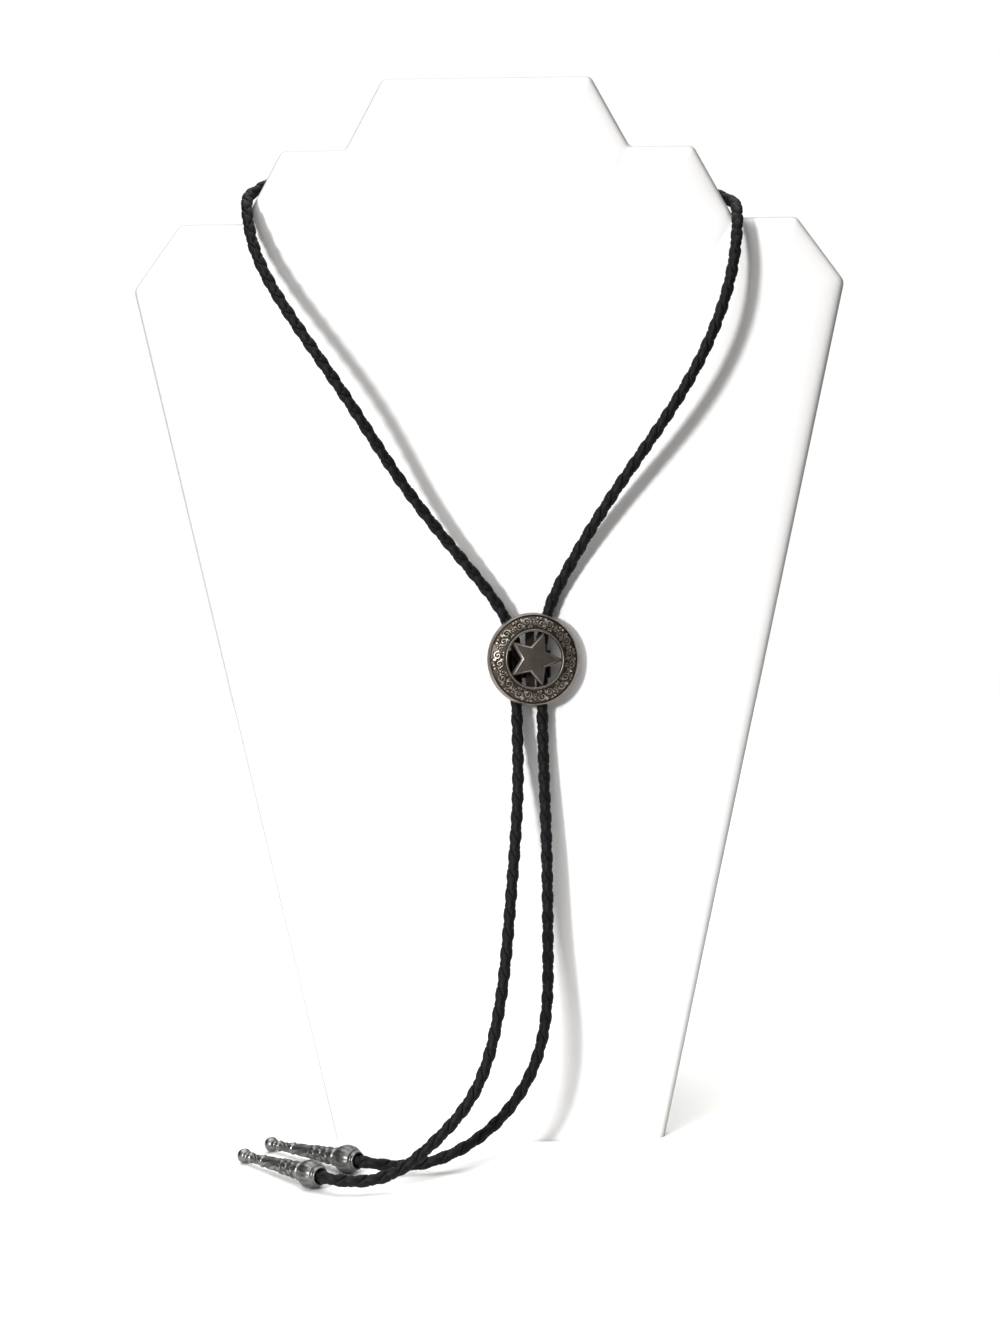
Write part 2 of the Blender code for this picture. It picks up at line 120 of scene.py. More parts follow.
def new_piece(name, points, quads, caps=(), materials=(), crease=None, closed=True):
    """A mesh object from points, four-cornered faces and flat end caps, turned outwards."""
    if closed and faces_in(points, quads):
        quads = quads[:, ::-1]
        caps = [np.asarray(cap)[::-1] for cap in caps]
    loops = np.concatenate([quads.ravel(), *[np.asarray(cap) for cap in caps]]).astype(np.int32)
    sizes = np.concatenate([np.full(len(quads), 4), [len(cap) for cap in caps]]).astype(np.int32)
    starts = np.concatenate([[0], np.cumsum(sizes)[:-1]]).astype(np.int32)
    mesh = bpy.data.meshes.new(name)
    mesh.vertices.add(len(points))
    mesh.vertices.foreach_set("co", np.asarray(points, np.float32).ravel())
    mesh.loops.add(len(loops))
    mesh.loops.foreach_set("vertex_index", loops)
    mesh.polygons.add(len(sizes))
    mesh.polygons.foreach_set("loop_start", starts)
    mesh.update(calc_edges=True)
    mesh.validate()
    mesh.shade_smooth()
    if crease is not None:
        mesh.set_sharp_from_angle(angle=math.radians(crease))
    for material in materials:
        mesh.materials.append(material)
    piece = bpy.data.objects.new(name, mesh)
    bpy.context.scene.collection.objects.link(piece)
    print(f"{name}: {len(mesh.vertices)} points, {len(mesh.polygons)} faces")
    return piece


def set_attribute(piece, name, values):
    """Store one number per point, for the piece's material to read."""
    layer = piece.data.attributes.new(name, "FLOAT", "POINT")
    layer.data.foreach_set("value", np.asarray(values, np.float32).ravel())


def place(matrix, points):
    """Points turned and moved by a 4 x 4 matrix."""
    m = np.array(matrix)
    return np.asarray(points) @ m[:3, :3].T + m[:3, 3]


# %% [markdown]
# The camera comes first, because what it sees decides how fine each piece has to be.
# It stands about 83 cm in front of the board, a little below the board's neck, and
# looks slightly down with a long lens, so the board's sides hardly converge.

# %% Camera
CAMERA_PLACE = (4.0 * MM, -830.5 * MM, 265.0 * MM)
CAMERA_YAW = math.radians(-0.144)
CAMERA_PITCH = math.radians(7.435)
CAMERA_ROLL = math.radians(-0.796)
LENS = 70.2

forward = Vector((math.sin(CAMERA_YAW) * math.cos(CAMERA_PITCH),
                  math.cos(CAMERA_YAW) * math.cos(CAMERA_PITCH),
                  -math.sin(CAMERA_PITCH)))
level_right = forward.cross(Vector((0.0, 0.0, 1.0))).normalized()
level_up = level_right.cross(forward)
right = level_right * math.cos(CAMERA_ROLL) + level_up * math.sin(CAMERA_ROLL)
up = level_up * math.cos(CAMERA_ROLL) - level_right * math.sin(CAMERA_ROLL)
camera = bpy.data.objects.new("camera", bpy.data.cameras.new("camera"))
camera.data.lens = LENS
camera.data.sensor_width = 36.0
camera.matrix_world = (Matrix.Translation(CAMERA_PLACE)
                       @ Matrix((right, up, -forward)).transposed().to_4x4())
bpy.context.scene.collection.objects.link(camera)
bpy.context.scene.camera = camera
print("camera looks along", tuple(round(c, 3) for c in forward))

# %% [markdown]
# The board leans back by eight degrees, and the slide on the cord is turned a little to
# the viewer's right. Two small frames of reference say that once: one for the board's
# face, and one for the slide. The cord, the slide and the board are all placed by them.

# %% The board's face and the slide's frame
BOARD_LEAN = math.radians(8.0)
BOARD_THICK = 9.0 * MM
SLIDE_X = 12.6 * MM
SLIDE_UP = 158.0 * MM
SLIDE_OFF = 6.2 * MM
SLIDE_TURN = math.radians(12.0)

FACE_SETBACK = BOARD_THICK / 2 / math.cos(BOARD_LEAN)
FACE_UP = np.array((0.0, math.sin(BOARD_LEAN), math.cos(BOARD_LEAN)))
FACE_OUT = np.array((0.0, -math.cos(BOARD_LEAN), math.sin(BOARD_LEAN)))


def board_points(x, height, off):
    """Points at x, a height up the sloping face, and a distance in front of it."""
    x, height, off = np.broadcast_arrays(x, height, off)
    foot = np.stack([x, np.full(x.shape, -FACE_SETBACK), np.zeros(x.shape)], axis=-1)
    return foot + height[..., None] * FACE_UP + off[..., None] * FACE_OUT


slide_out = FACE_OUT * math.cos(SLIDE_TURN) + np.array((math.sin(SLIDE_TURN), 0.0, 0.0))
slide_across = np.cross(FACE_UP, slide_out)
SLIDE = np.eye(4)
SLIDE[:3, :3] = np.column_stack([slide_across, FACE_UP, slide_out])
SLIDE[:3, 3] = board_points(SLIDE_X, SLIDE_UP, SLIDE_OFF)
print("slide at", np.round(SLIDE[:3, 3] / MM, 1), "mm")

# %% [markdown]
# The two tips lie on the table, each touching it with its small ball and its large bead,
# so a tip's axis falls a little towards the ball. Its frame has X running from the ball
# to the bead, which is the direction that the profile is written in.

# %% Frames of the tips
BALL_RADIUS = 2.4 * MM
BEAD_RADIUS = 4.5 * MM
BEAD_PLACE = 34.5 * MM
MOUTH_PLACE = 39.1 * MM
GAP = 0.3 * MM
TIP_LEAD = 3.0 * MM
SOCKET_REACH = 1.8 * MM
FRONT_TIP_BEAD = (-58.8 * MM, -48.8 * MM)
FRONT_TIP_HEADING = math.radians(132.7)
REAR_TIP_BEAD = (-48.3 * MM, -34.3 * MM)
REAR_TIP_HEADING = math.radians(139.5)


def tip_frame(bead, heading):
    """4 x 4 matrix of a tip: origin in the ball's centre, X towards the bead."""
    fall = math.asin((BEAD_RADIUS - BALL_RADIUS) / BEAD_PLACE)
    towards_ball = np.array((math.cos(heading) * math.cos(fall),
                             math.sin(heading) * math.cos(fall), -math.sin(fall)))
    across = np.cross((0.0, 0.0, 1.0), -towards_ball)
    across /= np.linalg.norm(across)
    matrix = np.eye(4)
    matrix[:3, :3] = np.column_stack([-towards_ball, across, np.cross(-towards_ball, across)])
    matrix[:3, 3] = np.array((*bead, BEAD_RADIUS)) + BEAD_PLACE * towards_ball
    return matrix


FRONT_TIP = tip_frame(FRONT_TIP_BEAD, FRONT_TIP_HEADING)
REAR_TIP = tip_frame(REAR_TIP_BEAD, REAR_TIP_HEADING)
print("front ball at", np.round(FRONT_TIP[:3, 3] / MM, 1), "mm")

# %% [markdown]
# The cord is one piece, 95 cm long. It starts at the front tip, rises to the slide,
# goes round the neck of the board and comes back down to the rear tip. Its route is a
# list of given places: x, distance in front of the board's face, and height.
# A natural cubic spline runs smoothly through them, as a springy cord does.

# %% The cord's route
FRONT_TAIL = (
    (-47.4, 52.1, 4.5),
    (-34.2, 50.9, 5.9),
    (-21.0, 49.7, 14.7),
    (-8.1, 44.2, 28.2),
    (-0.8, 38.0, 47.4),
    (4.5, 23.2, 85.0),
    (7.2, 10.7, 118.5),
)
LEFT_STRAND = (
    (-6.8, 7.4, 186.0),
    (-27.8, 13.1, 213.6),
    (-45.2, 18.2, 241.2),
    (-64.7, 16.1, 270.2),
    (-77.0, 9.0, 294.0),
    (-79.4, 0.4, 306.8),
    (-78.2, -9.6, 310.6),
)
NECK_LOOP = (
    (-66.0, -18.0, 317.2),
    (0.0, -24.6, 325.4),
    (67.0, -18.9, 312.2),
)
RIGHT_STRAND = (
    (80.3, -9.8, 306.0),
    (81.8, 0.4, 302.8),
    (79.6, 11.0, 285.2),
    (62.0, 14.0, 243.4),
    (40.8, 8.7, 212.4),
    (24.0, 3.4, 185.2),
    (18.5, 2.4, 174.0),
)
REAR_TAIL = (
    (16.3, 7.6, 94.0),
    (16.2, 10.9, 63.8),
    (13.1, 19.2, 35.4),
    (-0.6, 28.6, 15.2),
    (-20.0, 32.0, 4.4),
    (-35.0, 34.6, 3.6),
)
CORD_RADIUS = 2.0 * MM
STRAND_DEPTH = CORD_RADIUS + GAP
STRAND_STATIONS = (-15.0 * MM, -6.0 * MM, 3.0 * MM)
CLIP_SHIFT = -0.8 * MM
CLIP_HALF_PITCH = 4.3 * MM


def placed(rows):
    """World points of route rows: the face at that height, then out towards the viewer."""
    x, off, z = np.array(rows).T * MM
    return np.stack([x, z * math.tan(BOARD_LEAN) - off - FACE_SETBACK, z], axis=1)


def in_clip(hand, stations):
    """A strand's centre behind the disc; hand is -1 on the left and 1 on the right."""
    x = CLIP_SHIFT + hand * CLIP_HALF_PITCH
    return place(SLIDE, [(x, y, -STRAND_DEPTH) for y in stations])


def spline(route, steps):
    """Natural cubic spline: curvature is equal on both sides of each knot, nought at the ends."""
    chords = np.linalg.norm(np.diff(route, axis=0), axis=1)
    rises = np.diff(route, axis=0) / chords[:, None]
    count = len(route)
    matrix = np.eye(count) * 2.0
    inner = np.arange(1, count - 1)
    matrix[inner, inner] = 2.0 * (chords[:-1] + chords[1:])
    matrix[inner, inner - 1] = chords[1:]
    matrix[inner, inner + 1] = chords[:-1]
    matrix[0, 1] = matrix[-1, -2] = 1.0
    wanted = np.vstack([3.0 * rises[:1], 3.0 * (chords[1:, None] * rises[:-1]
                        + chords[:-1, None] * rises[1:]), 3.0 * rises[-1:]])
    slopes = np.linalg.solve(matrix, wanted)
    t = np.linspace(0.0, 1.0, steps, endpoint=False)[None, :, None]
    width = chords[:, None, None]
    curve = (route[:-1, None] * (1 + 2 * t) * (1 - t) ** 2 + route[1:, None] * t ** 2 * (3 - 2 * t)
             + slopes[:-1, None] * width * t * (1 - t) ** 2
             + slopes[1:, None] * width * t ** 2 * (t - 1))
    return np.vstack([curve.reshape(-1, 3), route[-1:]])


LEADS = (-SOCKET_REACH, GAP, GAP + TIP_LEAD)
tip_leads = [place(tip, [(MOUTH_PLACE + step, 0, 0) for step in LEADS])
             for tip in (FRONT_TIP, REAR_TIP)]
route = np.vstack([
    tip_leads[0], placed(FRONT_TAIL), in_clip(-1, STRAND_STATIONS), placed(LEFT_STRAND),
    placed(NECK_LOOP), placed(RIGHT_STRAND), in_clip(1, STRAND_STATIONS[::-1]),
    placed(REAR_TAIL), tip_leads[1][::-1]])
fine = spline(route, 60)

# %% [markdown]
# To lay strands round that line we need, at every step, two directions square to it.
# Frames carried along a curve should not spin by themselves, so we take a fixed
# direction that the cord never follows, see how fast the frame it gives turns about the
# cord, and turn it back by the running sum of that turning.

# %% Even steps and untwisted frames
BRAID_STEP = 0.62 * MM
OFF_AXIS = np.array((1.0, 1.0, -1.0)) / math.sqrt(3.0)


def unit(vectors):
    """Vectors divided by their lengths."""
    return vectors / np.linalg.norm(vectors, axis=-1, keepdims=True)


def carried_frames(points):
    """Along, and two directions square to it that do not twist: twist rate = dN . B, summed up."""
    along = unit(np.gradient(points, axis=0))
    side = unit(OFF_AXIS - (along @ OFF_AXIS)[:, None] * along)
    lift = np.cross(along, side)
    twist = np.sum(np.diff(side, axis=0) * (lift[1:] + lift[:-1]) / 2, axis=1)
    angle = -np.concatenate([[0.0], np.cumsum(twist)])[:, None]
    return (along, side * np.cos(angle) + lift * np.sin(angle),
            lift * np.cos(angle) - side * np.sin(angle))


run = np.concatenate([[0.0], np.cumsum(np.linalg.norm(np.diff(fine, axis=0), axis=1))])
stations = np.linspace(0.0, run[-1], int(run[-1] / BRAID_STEP))
centre = np.stack([np.interp(stations, run, fine[:, k]) for k in range(3)], axis=1)
along, side, lift = carried_frames(centre)
print(len(centre), "steps; nearest to the fixed direction:",
      round(math.degrees(math.acos(np.abs(along @ OFF_AXIS).max()))), "degrees")

# %% [markdown]
# The cord is a round braid of four black leather laces. Two wind one way and two the
# other. Each rises over the next lace and dives under the one after it, so a lace's
# distance from the middle swings in and out twice a turn. A twisted tube with a bump
# map would be quicker, but its outline would stay smooth, and the lobes of a braid show
# best along its outline. So each lace is swept as a real flat band, bent round the cord.

# %% The braided cord
BRAID_TURN = 13.0 * MM
LACE_WIDTH = 3.5 * MM
LACE_THICK = 1.3 * MM
LACE_IN = 0.7 * MM
LACE_OUT = 1.38 * MM
LACE_CORNERS = 12
LACE_FOLD = 1.15 * MM


def swept_lace(hand, start):
    """Points of one lace.

    Angle round the cord = hand * full turns + start. Distance from the middle =
    mean + hand * swing * cos(2 * angle walked). Its section is a rounded band whose
    width is laid round the cord and along it, square to the lace's own slope.
    """
    walked = 2 * math.pi * stations / BRAID_TURN
    swing = np.cos(2 * walked)
    swing = np.tanh(1.6 * swing) / math.tanh(1.6)
    radius = (LACE_OUT + LACE_IN) / 2 + hand * swing * (LACE_OUT - LACE_IN) / 2
    corner = 2 * math.pi * np.arange(LACE_CORNERS) / LACE_CORNERS
    flat = np.sign(np.cos(corner)) * np.abs(np.cos(corner)) ** 0.75 * LACE_WIDTH / 2
    thick = np.sign(np.sin(corner)) * np.abs(np.sin(corner)) ** 0.8 * LACE_THICK / 2
    slope = math.atan2(2 * math.pi * LACE_OUT, BRAID_TURN)
    fold = np.maximum(radius, LACE_FOLD)
    angle = (hand * walked + start)[:, None] + flat * math.cos(slope) / fold[:, None]
    shift = stations[:, None] - hand * flat * math.sin(slope)
    reach = radius[:, None] + thick
    spot = np.clip(shift, 0.0, stations[-1])
    middle, first, second = [
        np.stack([np.interp(spot, stations, field[:, k]) for k in range(3)], axis=-1)
        for field in (centre, side, lift)]
    return (middle + first * (reach * np.cos(angle))[..., None]
            + second * (reach * np.sin(angle))[..., None])


LACES = ((1, 0.0), (1, math.pi), (-1, 0.0), (-1, math.pi))
laces = [swept_lace(hand, start) for hand, start in LACES]
lace_rows = len(stations)
lace_points = lace_rows * LACE_CORNERS
lace_quads = np.vstack([grid_quads(lace_rows, LACE_CORNERS) + i * lace_points
                        for i in range(len(LACES))])
lace_caps = []
for i in range(len(LACES)):
    first_ring = np.arange(LACE_CORNERS) + i * lace_points
    lace_caps += [first_ring[::-1], first_ring + (lace_rows - 1) * LACE_CORNERS]
braid = new_piece("braided_cord", np.concatenate([lace.reshape(-1, 3) for lace in laces]),
                  lace_quads, lace_caps)

# %% [markdown]
# Leather's grain should follow each lace, so the braid gets a UV map measured in
# millimetres: the way along the lace, and the way round it.

# %% UV map of the laces
LACE_GIRTH = 2.2 * LACE_WIDTH
turn_number = np.arange(LACE_CORNERS + 1) * (LACE_GIRTH / LACE_CORNERS / MM)
low, left = np.meshgrid(np.arange(lace_rows - 1), np.arange(LACE_CORNERS), indexing="ij")
along_mm = stations / MM
corner_uv = np.stack([
    np.stack([along_mm[low], along_mm[low], along_mm[low + 1], along_mm[low + 1]], axis=-1),
    np.stack([turn_number[left], turn_number[left + 1], turn_number[left + 1],
              turn_number[left]], axis=-1)], axis=-1).reshape(-1, 2)
cap_uv = np.zeros((2 * LACE_CORNERS, 2))
shifts = np.array([(0.0, 17.0 * i) for i in range(len(LACES))])
all_uv = np.vstack([corner_uv + shift for shift in shifts]
                   + [cap_uv for _ in range(len(LACES))])
braid_uv = braid.data.uv_layers.new(name="lace_mm")
braid_uv.data.foreach_set("uv", all_uv.astype(np.float32).ravel())
print("UV corners:", len(all_uv), "of", len(braid.data.loops))

# %% [markdown]
# Bonded black leather: a smooth pressed skin with a soft sheen, fine grain that runs
# along the lace, and slow patches where handling has polished it. The UV map is in
# millimetres, so a pattern's scale is one divided by its size in millimetres.

# %% Black leather
GRAIN_LONG_MM = 0.7
GRAIN_WIDE_MM = 0.2
PATCH_MM = 4.3

leather, tree, shader = new_material("bonded_black_leather")
uv = add(tree, "ShaderNodeUVMap", uv_map="lace_mm")
grain_map = add(tree, "ShaderNodeMapping", {"Vector": uv.outputs["UV"]},
                {"Scale": (1.0 / GRAIN_LONG_MM, 1.0 / GRAIN_WIDE_MM, 1.0)})
grain = add(tree, "ShaderNodeTexNoise", {"Vector": grain_map.outputs["Vector"]},
            {"Scale": 1.0, "Detail": 5.0, "Roughness": 0.62})
patches = add(tree, "ShaderNodeTexNoise", {"Vector": uv.outputs["UV"]},
              {"Scale": 1.0 / PATCH_MM, "Detail": 2.0})
tone = add(tree, "ShaderNodeMix", {"Factor": patches.outputs["Fac"]}, data_type="RGBA")
tone.inputs["A"].default_value = linear("#09090a")
tone.inputs["B"].default_value = linear("#141518")
sheen_range = add(tree, "ShaderNodeMapRange", {"Value": grain.outputs["Fac"]},
                  {"From Min": 0.3, "From Max": 0.7, "To Min": 0.52, "To Max": 0.68})
creases = add(tree, "ShaderNodeBump", {"Height": grain.outputs["Fac"]},
              {"Strength": 0.35, "Distance": 0.12 * MM})
tree.links.new(tone.outputs["Result"], shader.inputs["Base Color"])
tree.links.new(sheen_range.outputs["Result"], shader.inputs["Roughness"])
tree.links.new(creases.outputs["Normal"], shader.inputs["Normal"])
shader.inputs["IOR"].default_value = 1.5
shader.inputs["Specular IOR Level"].default_value = 0.3
braid.data.materials.append(leather)
print("leather tones from", tone.inputs["A"].default_value[0], "up")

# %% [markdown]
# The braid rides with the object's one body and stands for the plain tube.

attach(braid, "root")
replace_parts(braid, "bolo_cord")

# %% [markdown]
# The slide is a cast disc of antiqued silver metal: a shallow dome, pierced round a
# five-pointed star, with an engraved band of small flowers and scrolls. A picture of
# the engraving on a smooth dome would look flat from the side, so the band is real
# relief: a height for every angle and radius. The motif repeats ten times, each with a
# flower in the middle, a curled scroll on either side and leaves at its ends.

# %% Engraving of the band
MOTIFS = 10
BAND_INNER = 9.9 * MM
BAND_OUTER = 14.3 * MM
BAND_MIDDLE = (BAND_INNER + BAND_OUTER) / 2
DRAWN_UNIT = 1.3 * MM
MOTIF_HALF = math.pi * BAND_MIDDLE / MOTIFS / DRAWN_UNIT
BAND_HALF = (BAND_OUTER - BAND_INNER) / 2 / DRAWN_UNIT
PETALS = 5
SCROLL_PITCH = 0.66


def smooth_step(x):
    """Nought below 0, one above 1, and 3 x squared - 2 x cubed between them."""
    x = np.clip(x, 0.0, 1.0)
    return x * x * (3.0 - 2.0 * x)


def engraving(turn, radius):
    """Height from 0 to 1 of the band's ornament; u along it and v across are in drawn units.

    Flower: its edge is a circle waved by the cosine of the petals. Scroll: a ridge where
    the angle round its centre keeps up with the distance from it. Leaves and seeds are
    ellipses. The highest of them counts, and the band's two edges are left plain.
    """
    u = ((turn * MOTIFS / (2 * math.pi)) % 1.0 - 0.5) * 2 * MOTIF_HALF
    v = (radius - BAND_MIDDLE) / DRAWN_UNIT
    hand = np.where(u < 0, -1.0, 1.0)
    reach = np.hypot(u, v)
    petal_edge = 0.78 + 0.2 * np.cos(PETALS * np.arctan2(u, v))
    flower = smooth_step((petal_edge - reach) / 0.18)
    flower *= 1.0 - 0.85 * np.exp(-((reach - 0.36) / 0.1) ** 2)
    across, over = np.abs(u) - 1.88, v * hand - 0.22
    curl = np.hypot(across, over)
    arm = np.cos(np.arctan2(over, across) - 2 * math.pi * curl / SCROLL_PITCH)
    scroll = smooth_step(0.7 + 0.9 * arm) * smooth_step((1.2 - curl) / 0.14)
    leaf = 1.0 - ((np.abs(u) - MOTIF_HALF) / 0.42) ** 2 - ((np.abs(v) - 0.9) / 0.68) ** 2
    seed = 1.0 - (np.hypot(np.abs(u) - 0.9, v * hand + 1.12) / 0.42) ** 2
    stem = 1.0 - (np.hypot(np.abs(u) - 1.66, v * hand + 1.2) / 0.36) ** 2
    ornament = np.maximum.reduce([flower, scroll, smooth_step(1.6 * leaf),
                                  smooth_step(1.6 * seed), smooth_step(1.6 * stem)])
    edges = smooth_step((BAND_HALF - 0.03 - np.abs(v)) / 0.12)
    return ornament * edges


print(f"one motif is {2 * MOTIF_HALF * DRAWN_UNIT / MM:.2f} mm long on the band's middle line")

# %% [markdown]
# The dome's section is one closed loop: up the wall of the opening, over the polished
# ring, out across the band, round the plain rim and back underneath. It is carried
# round the disc, and only the band's rows listen to the engraving.

# %% The dome
DOME_COLUMNS = MOTIFS * 50
BAND_ROWS = 28
BAND_TOP = 3.55 * MM
BAND_DROP = 1.895 * MM
BAND_CURVE = 0.546
RELIEF_UP = 0.3 * MM
RELIEF_DOWN = 0.14 * MM
RING_SECTION = (
    # radius, height above the disc's back, in millimetres
    (9.1, 2.3), (9.1, 3.0), (9.1, 3.55), (9.13, 3.74), (9.2, 3.88), (9.31, 3.97),
    (9.45, 4.01), (9.6, 3.99), (9.72, 3.91), (9.8, 3.78), (9.85, 3.62), (9.87, 3.5),
)
RIM_SECTION = (
    (14.33, 1.6), (14.37, 1.76), (14.45, 1.86), (14.58, 1.86), (14.76, 1.7), (14.94, 1.42),
    (15.09, 1.08), (15.2, 0.74), (15.25, 0.4), (15.24, 0.2), (15.18, 0.06), (15.05, 0.0),
    (14.1, 0.0), (13.1, 0.0), (12.9, 0.4), (12.5, 1.0), (11.6, 1.65), (10.6, 2.1), (9.8, 2.24),
)


def dome_points():
    """Rows of the section against columns round the disc.

    Height of the band = its top - drop * (a share of the way across + the rest of the way
    squared), so that it grows steeper outwards, plus the relief.
    """
    turn = 2 * math.pi * np.arange(DOME_COLUMNS) / DOME_COLUMNS
    across = np.linspace(0.0, 1.0, BAND_ROWS)
    band_radius = BAND_INNER + (BAND_OUTER - BAND_INNER) * across
    band_height = BAND_TOP - BAND_DROP * ((1 - BAND_CURVE) * across + BAND_CURVE * across ** 2)
    ring, rim = np.array(RING_SECTION) * MM, np.array(RIM_SECTION) * MM
    radius = np.concatenate([ring[:, 0], band_radius, rim[:, 0]])
    plain = np.concatenate([ring[:, 1], band_height, rim[:, 1]])
    height = np.repeat(plain[:, None], DOME_COLUMNS, axis=1)
    band = slice(len(RING_SECTION), len(RING_SECTION) + BAND_ROWS)
    raised = engraving(turn[None, :], radius[band, None])
    height[band] += raised * RELIEF_UP - (1.0 - raised) * RELIEF_DOWN
    return np.stack([radius[:, None] * np.cos(turn), radius[:, None] * np.sin(turn), height],
                    axis=-1)


dome = dome_points()
dome_rows = len(dome)
loop_rows = np.vstack([dome, dome[:1]])
dome_quads = grid_quads(dome_rows + 1, DOME_COLUMNS) % (dome_rows * DOME_COLUMNS)
concho = new_piece("star_concho", place(SLIDE, dome.reshape(-1, 3)), dome_quads)

# %% [markdown]
# The star is a ten-cornered plate with a bevelled edge. Its rings are the outline moved
# inwards, with mitred corners. It was cast in one with the disc, so the two are joined
# by a Boolean, which cuts away what lies inside and leaves one skin.

# %% The star, joined to the dome
STAR_POINT = 9.9 * MM
STAR_VALLEY = 4.45 * MM
STAR_ANGLE = math.radians(70.0)
STAR_RINGS = (
    # inset from the outline, height above the disc's back, in millimetres
    (0.0, 2.45), (0.0, 2.82), (0.07, 2.94), (0.56, 3.5), (0.66, 3.56), (0.8, 3.58),
)


def inset_outline(outline, distance):
    """An anticlockwise outline moved inwards: each corner goes along its mitre."""
    ahead = unit(np.roll(outline, -1, axis=0) - outline)
    inward = np.stack([-ahead[:, 1], ahead[:, 0]], axis=1)
    before = np.roll(inward, 1, axis=0)
    share = 1.0 + np.sum(inward * before, axis=1)
    return outline + distance * (inward + before) / share[:, None]


def joined(piece, helper, crease):
    """The piece with the helper's solid added to it and smoothed; the helper is removed."""
    union = piece.modifiers.new("join", "BOOLEAN")
    union.operation = "UNION"
    union.solver = "EXACT"
    union.object = helper
    shaped = bpy.data.meshes.new_from_object(
        piece.evaluated_get(bpy.context.evaluated_depsgraph_get()))
    piece.modifiers.clear()
    piece.data = shaped
    shaped.name = piece.name
    shaped.shade_smooth()
    shaped.set_sharp_from_angle(angle=math.radians(crease))
    bpy.data.objects.remove(helper)


star_turn = STAR_ANGLE + math.pi / 5 * np.arange(10)
star_reach = np.where(np.arange(10) % 2 == 0, STAR_POINT, STAR_VALLEY)
star_outline = np.column_stack([star_reach * np.cos(star_turn), star_reach * np.sin(star_turn)])
star_rings = [np.column_stack([inset_outline(star_outline, inset * MM), np.full(10, height * MM)])
              for inset, height in STAR_RINGS]
last_ring = 10 * (len(STAR_RINGS) - 1)
star = new_piece("star_plate", place(SLIDE, np.vstack(star_rings)),
                 grid_quads(len(STAR_RINGS), 10),
                 caps=[np.arange(10)[::-1], np.arange(10) + last_ring])
joined(concho, star, crease=32)
print("dome and star are one skin of", len(concho.data.polygons), "faces")

# %% [markdown]
# Antiquing leaves dark oxide in every hollow and polishes it off the high parts. The
# metal needs to know which is which, so each point keeps a number from 0, high and
# bright, to 1, deep and dark, worked out from the same heights as the relief.

# %% Where the antiquing stays
OXIDE_VEIL = 0.16
RING_VEIL = 0.42
RIM_VEIL = 0.26
BACK_OXIDE = 0.9
FRONT_LEVELS = (
    # radius, height in millimetres below which the casting's wall and back begin
    (9.1, 2.95), (9.9, 3.0), (14.3, 1.2), (15.2, 0.2),
)


def local_points(piece, matrix):
    """The piece's points in a 4 x 4 frame."""
    points = np.empty(len(piece.data.vertices) * 3, np.float32)
    piece.data.vertices.foreach_get("co", points)
    return place(np.linalg.inv(np.array(matrix)), points.reshape(-1, 3))


x, y, z = local_points(concho, SLIDE).T
disc_radius, disc_turn = np.hypot(x, y), np.arctan2(y, x)
band_start, band_end = BAND_INNER - 0.04 * MM, BAND_OUTER + 0.08 * MM
hollows = (1.0 - engraving(disc_turn, disc_radius)) ** 1.4
recess = np.select([disc_radius < 9.05 * MM, disc_radius < band_start, disc_radius < band_end],
                   [OXIDE_VEIL, RING_VEIL, np.maximum(hollows, OXIDE_VEIL)], RIM_VEIL)
front_radius, front_height = np.array(FRONT_LEVELS).T * MM
behind_front = (z < np.interp(disc_radius, front_radius, front_height)) & (disc_radius > 9.05 * MM)
recess = np.where(behind_front, BACK_OXIDE, recess)
set_attribute(concho, "recess", recess)
print("share of the disc's points in the hollows:", round(float((recess > 0.5).mean()), 2))
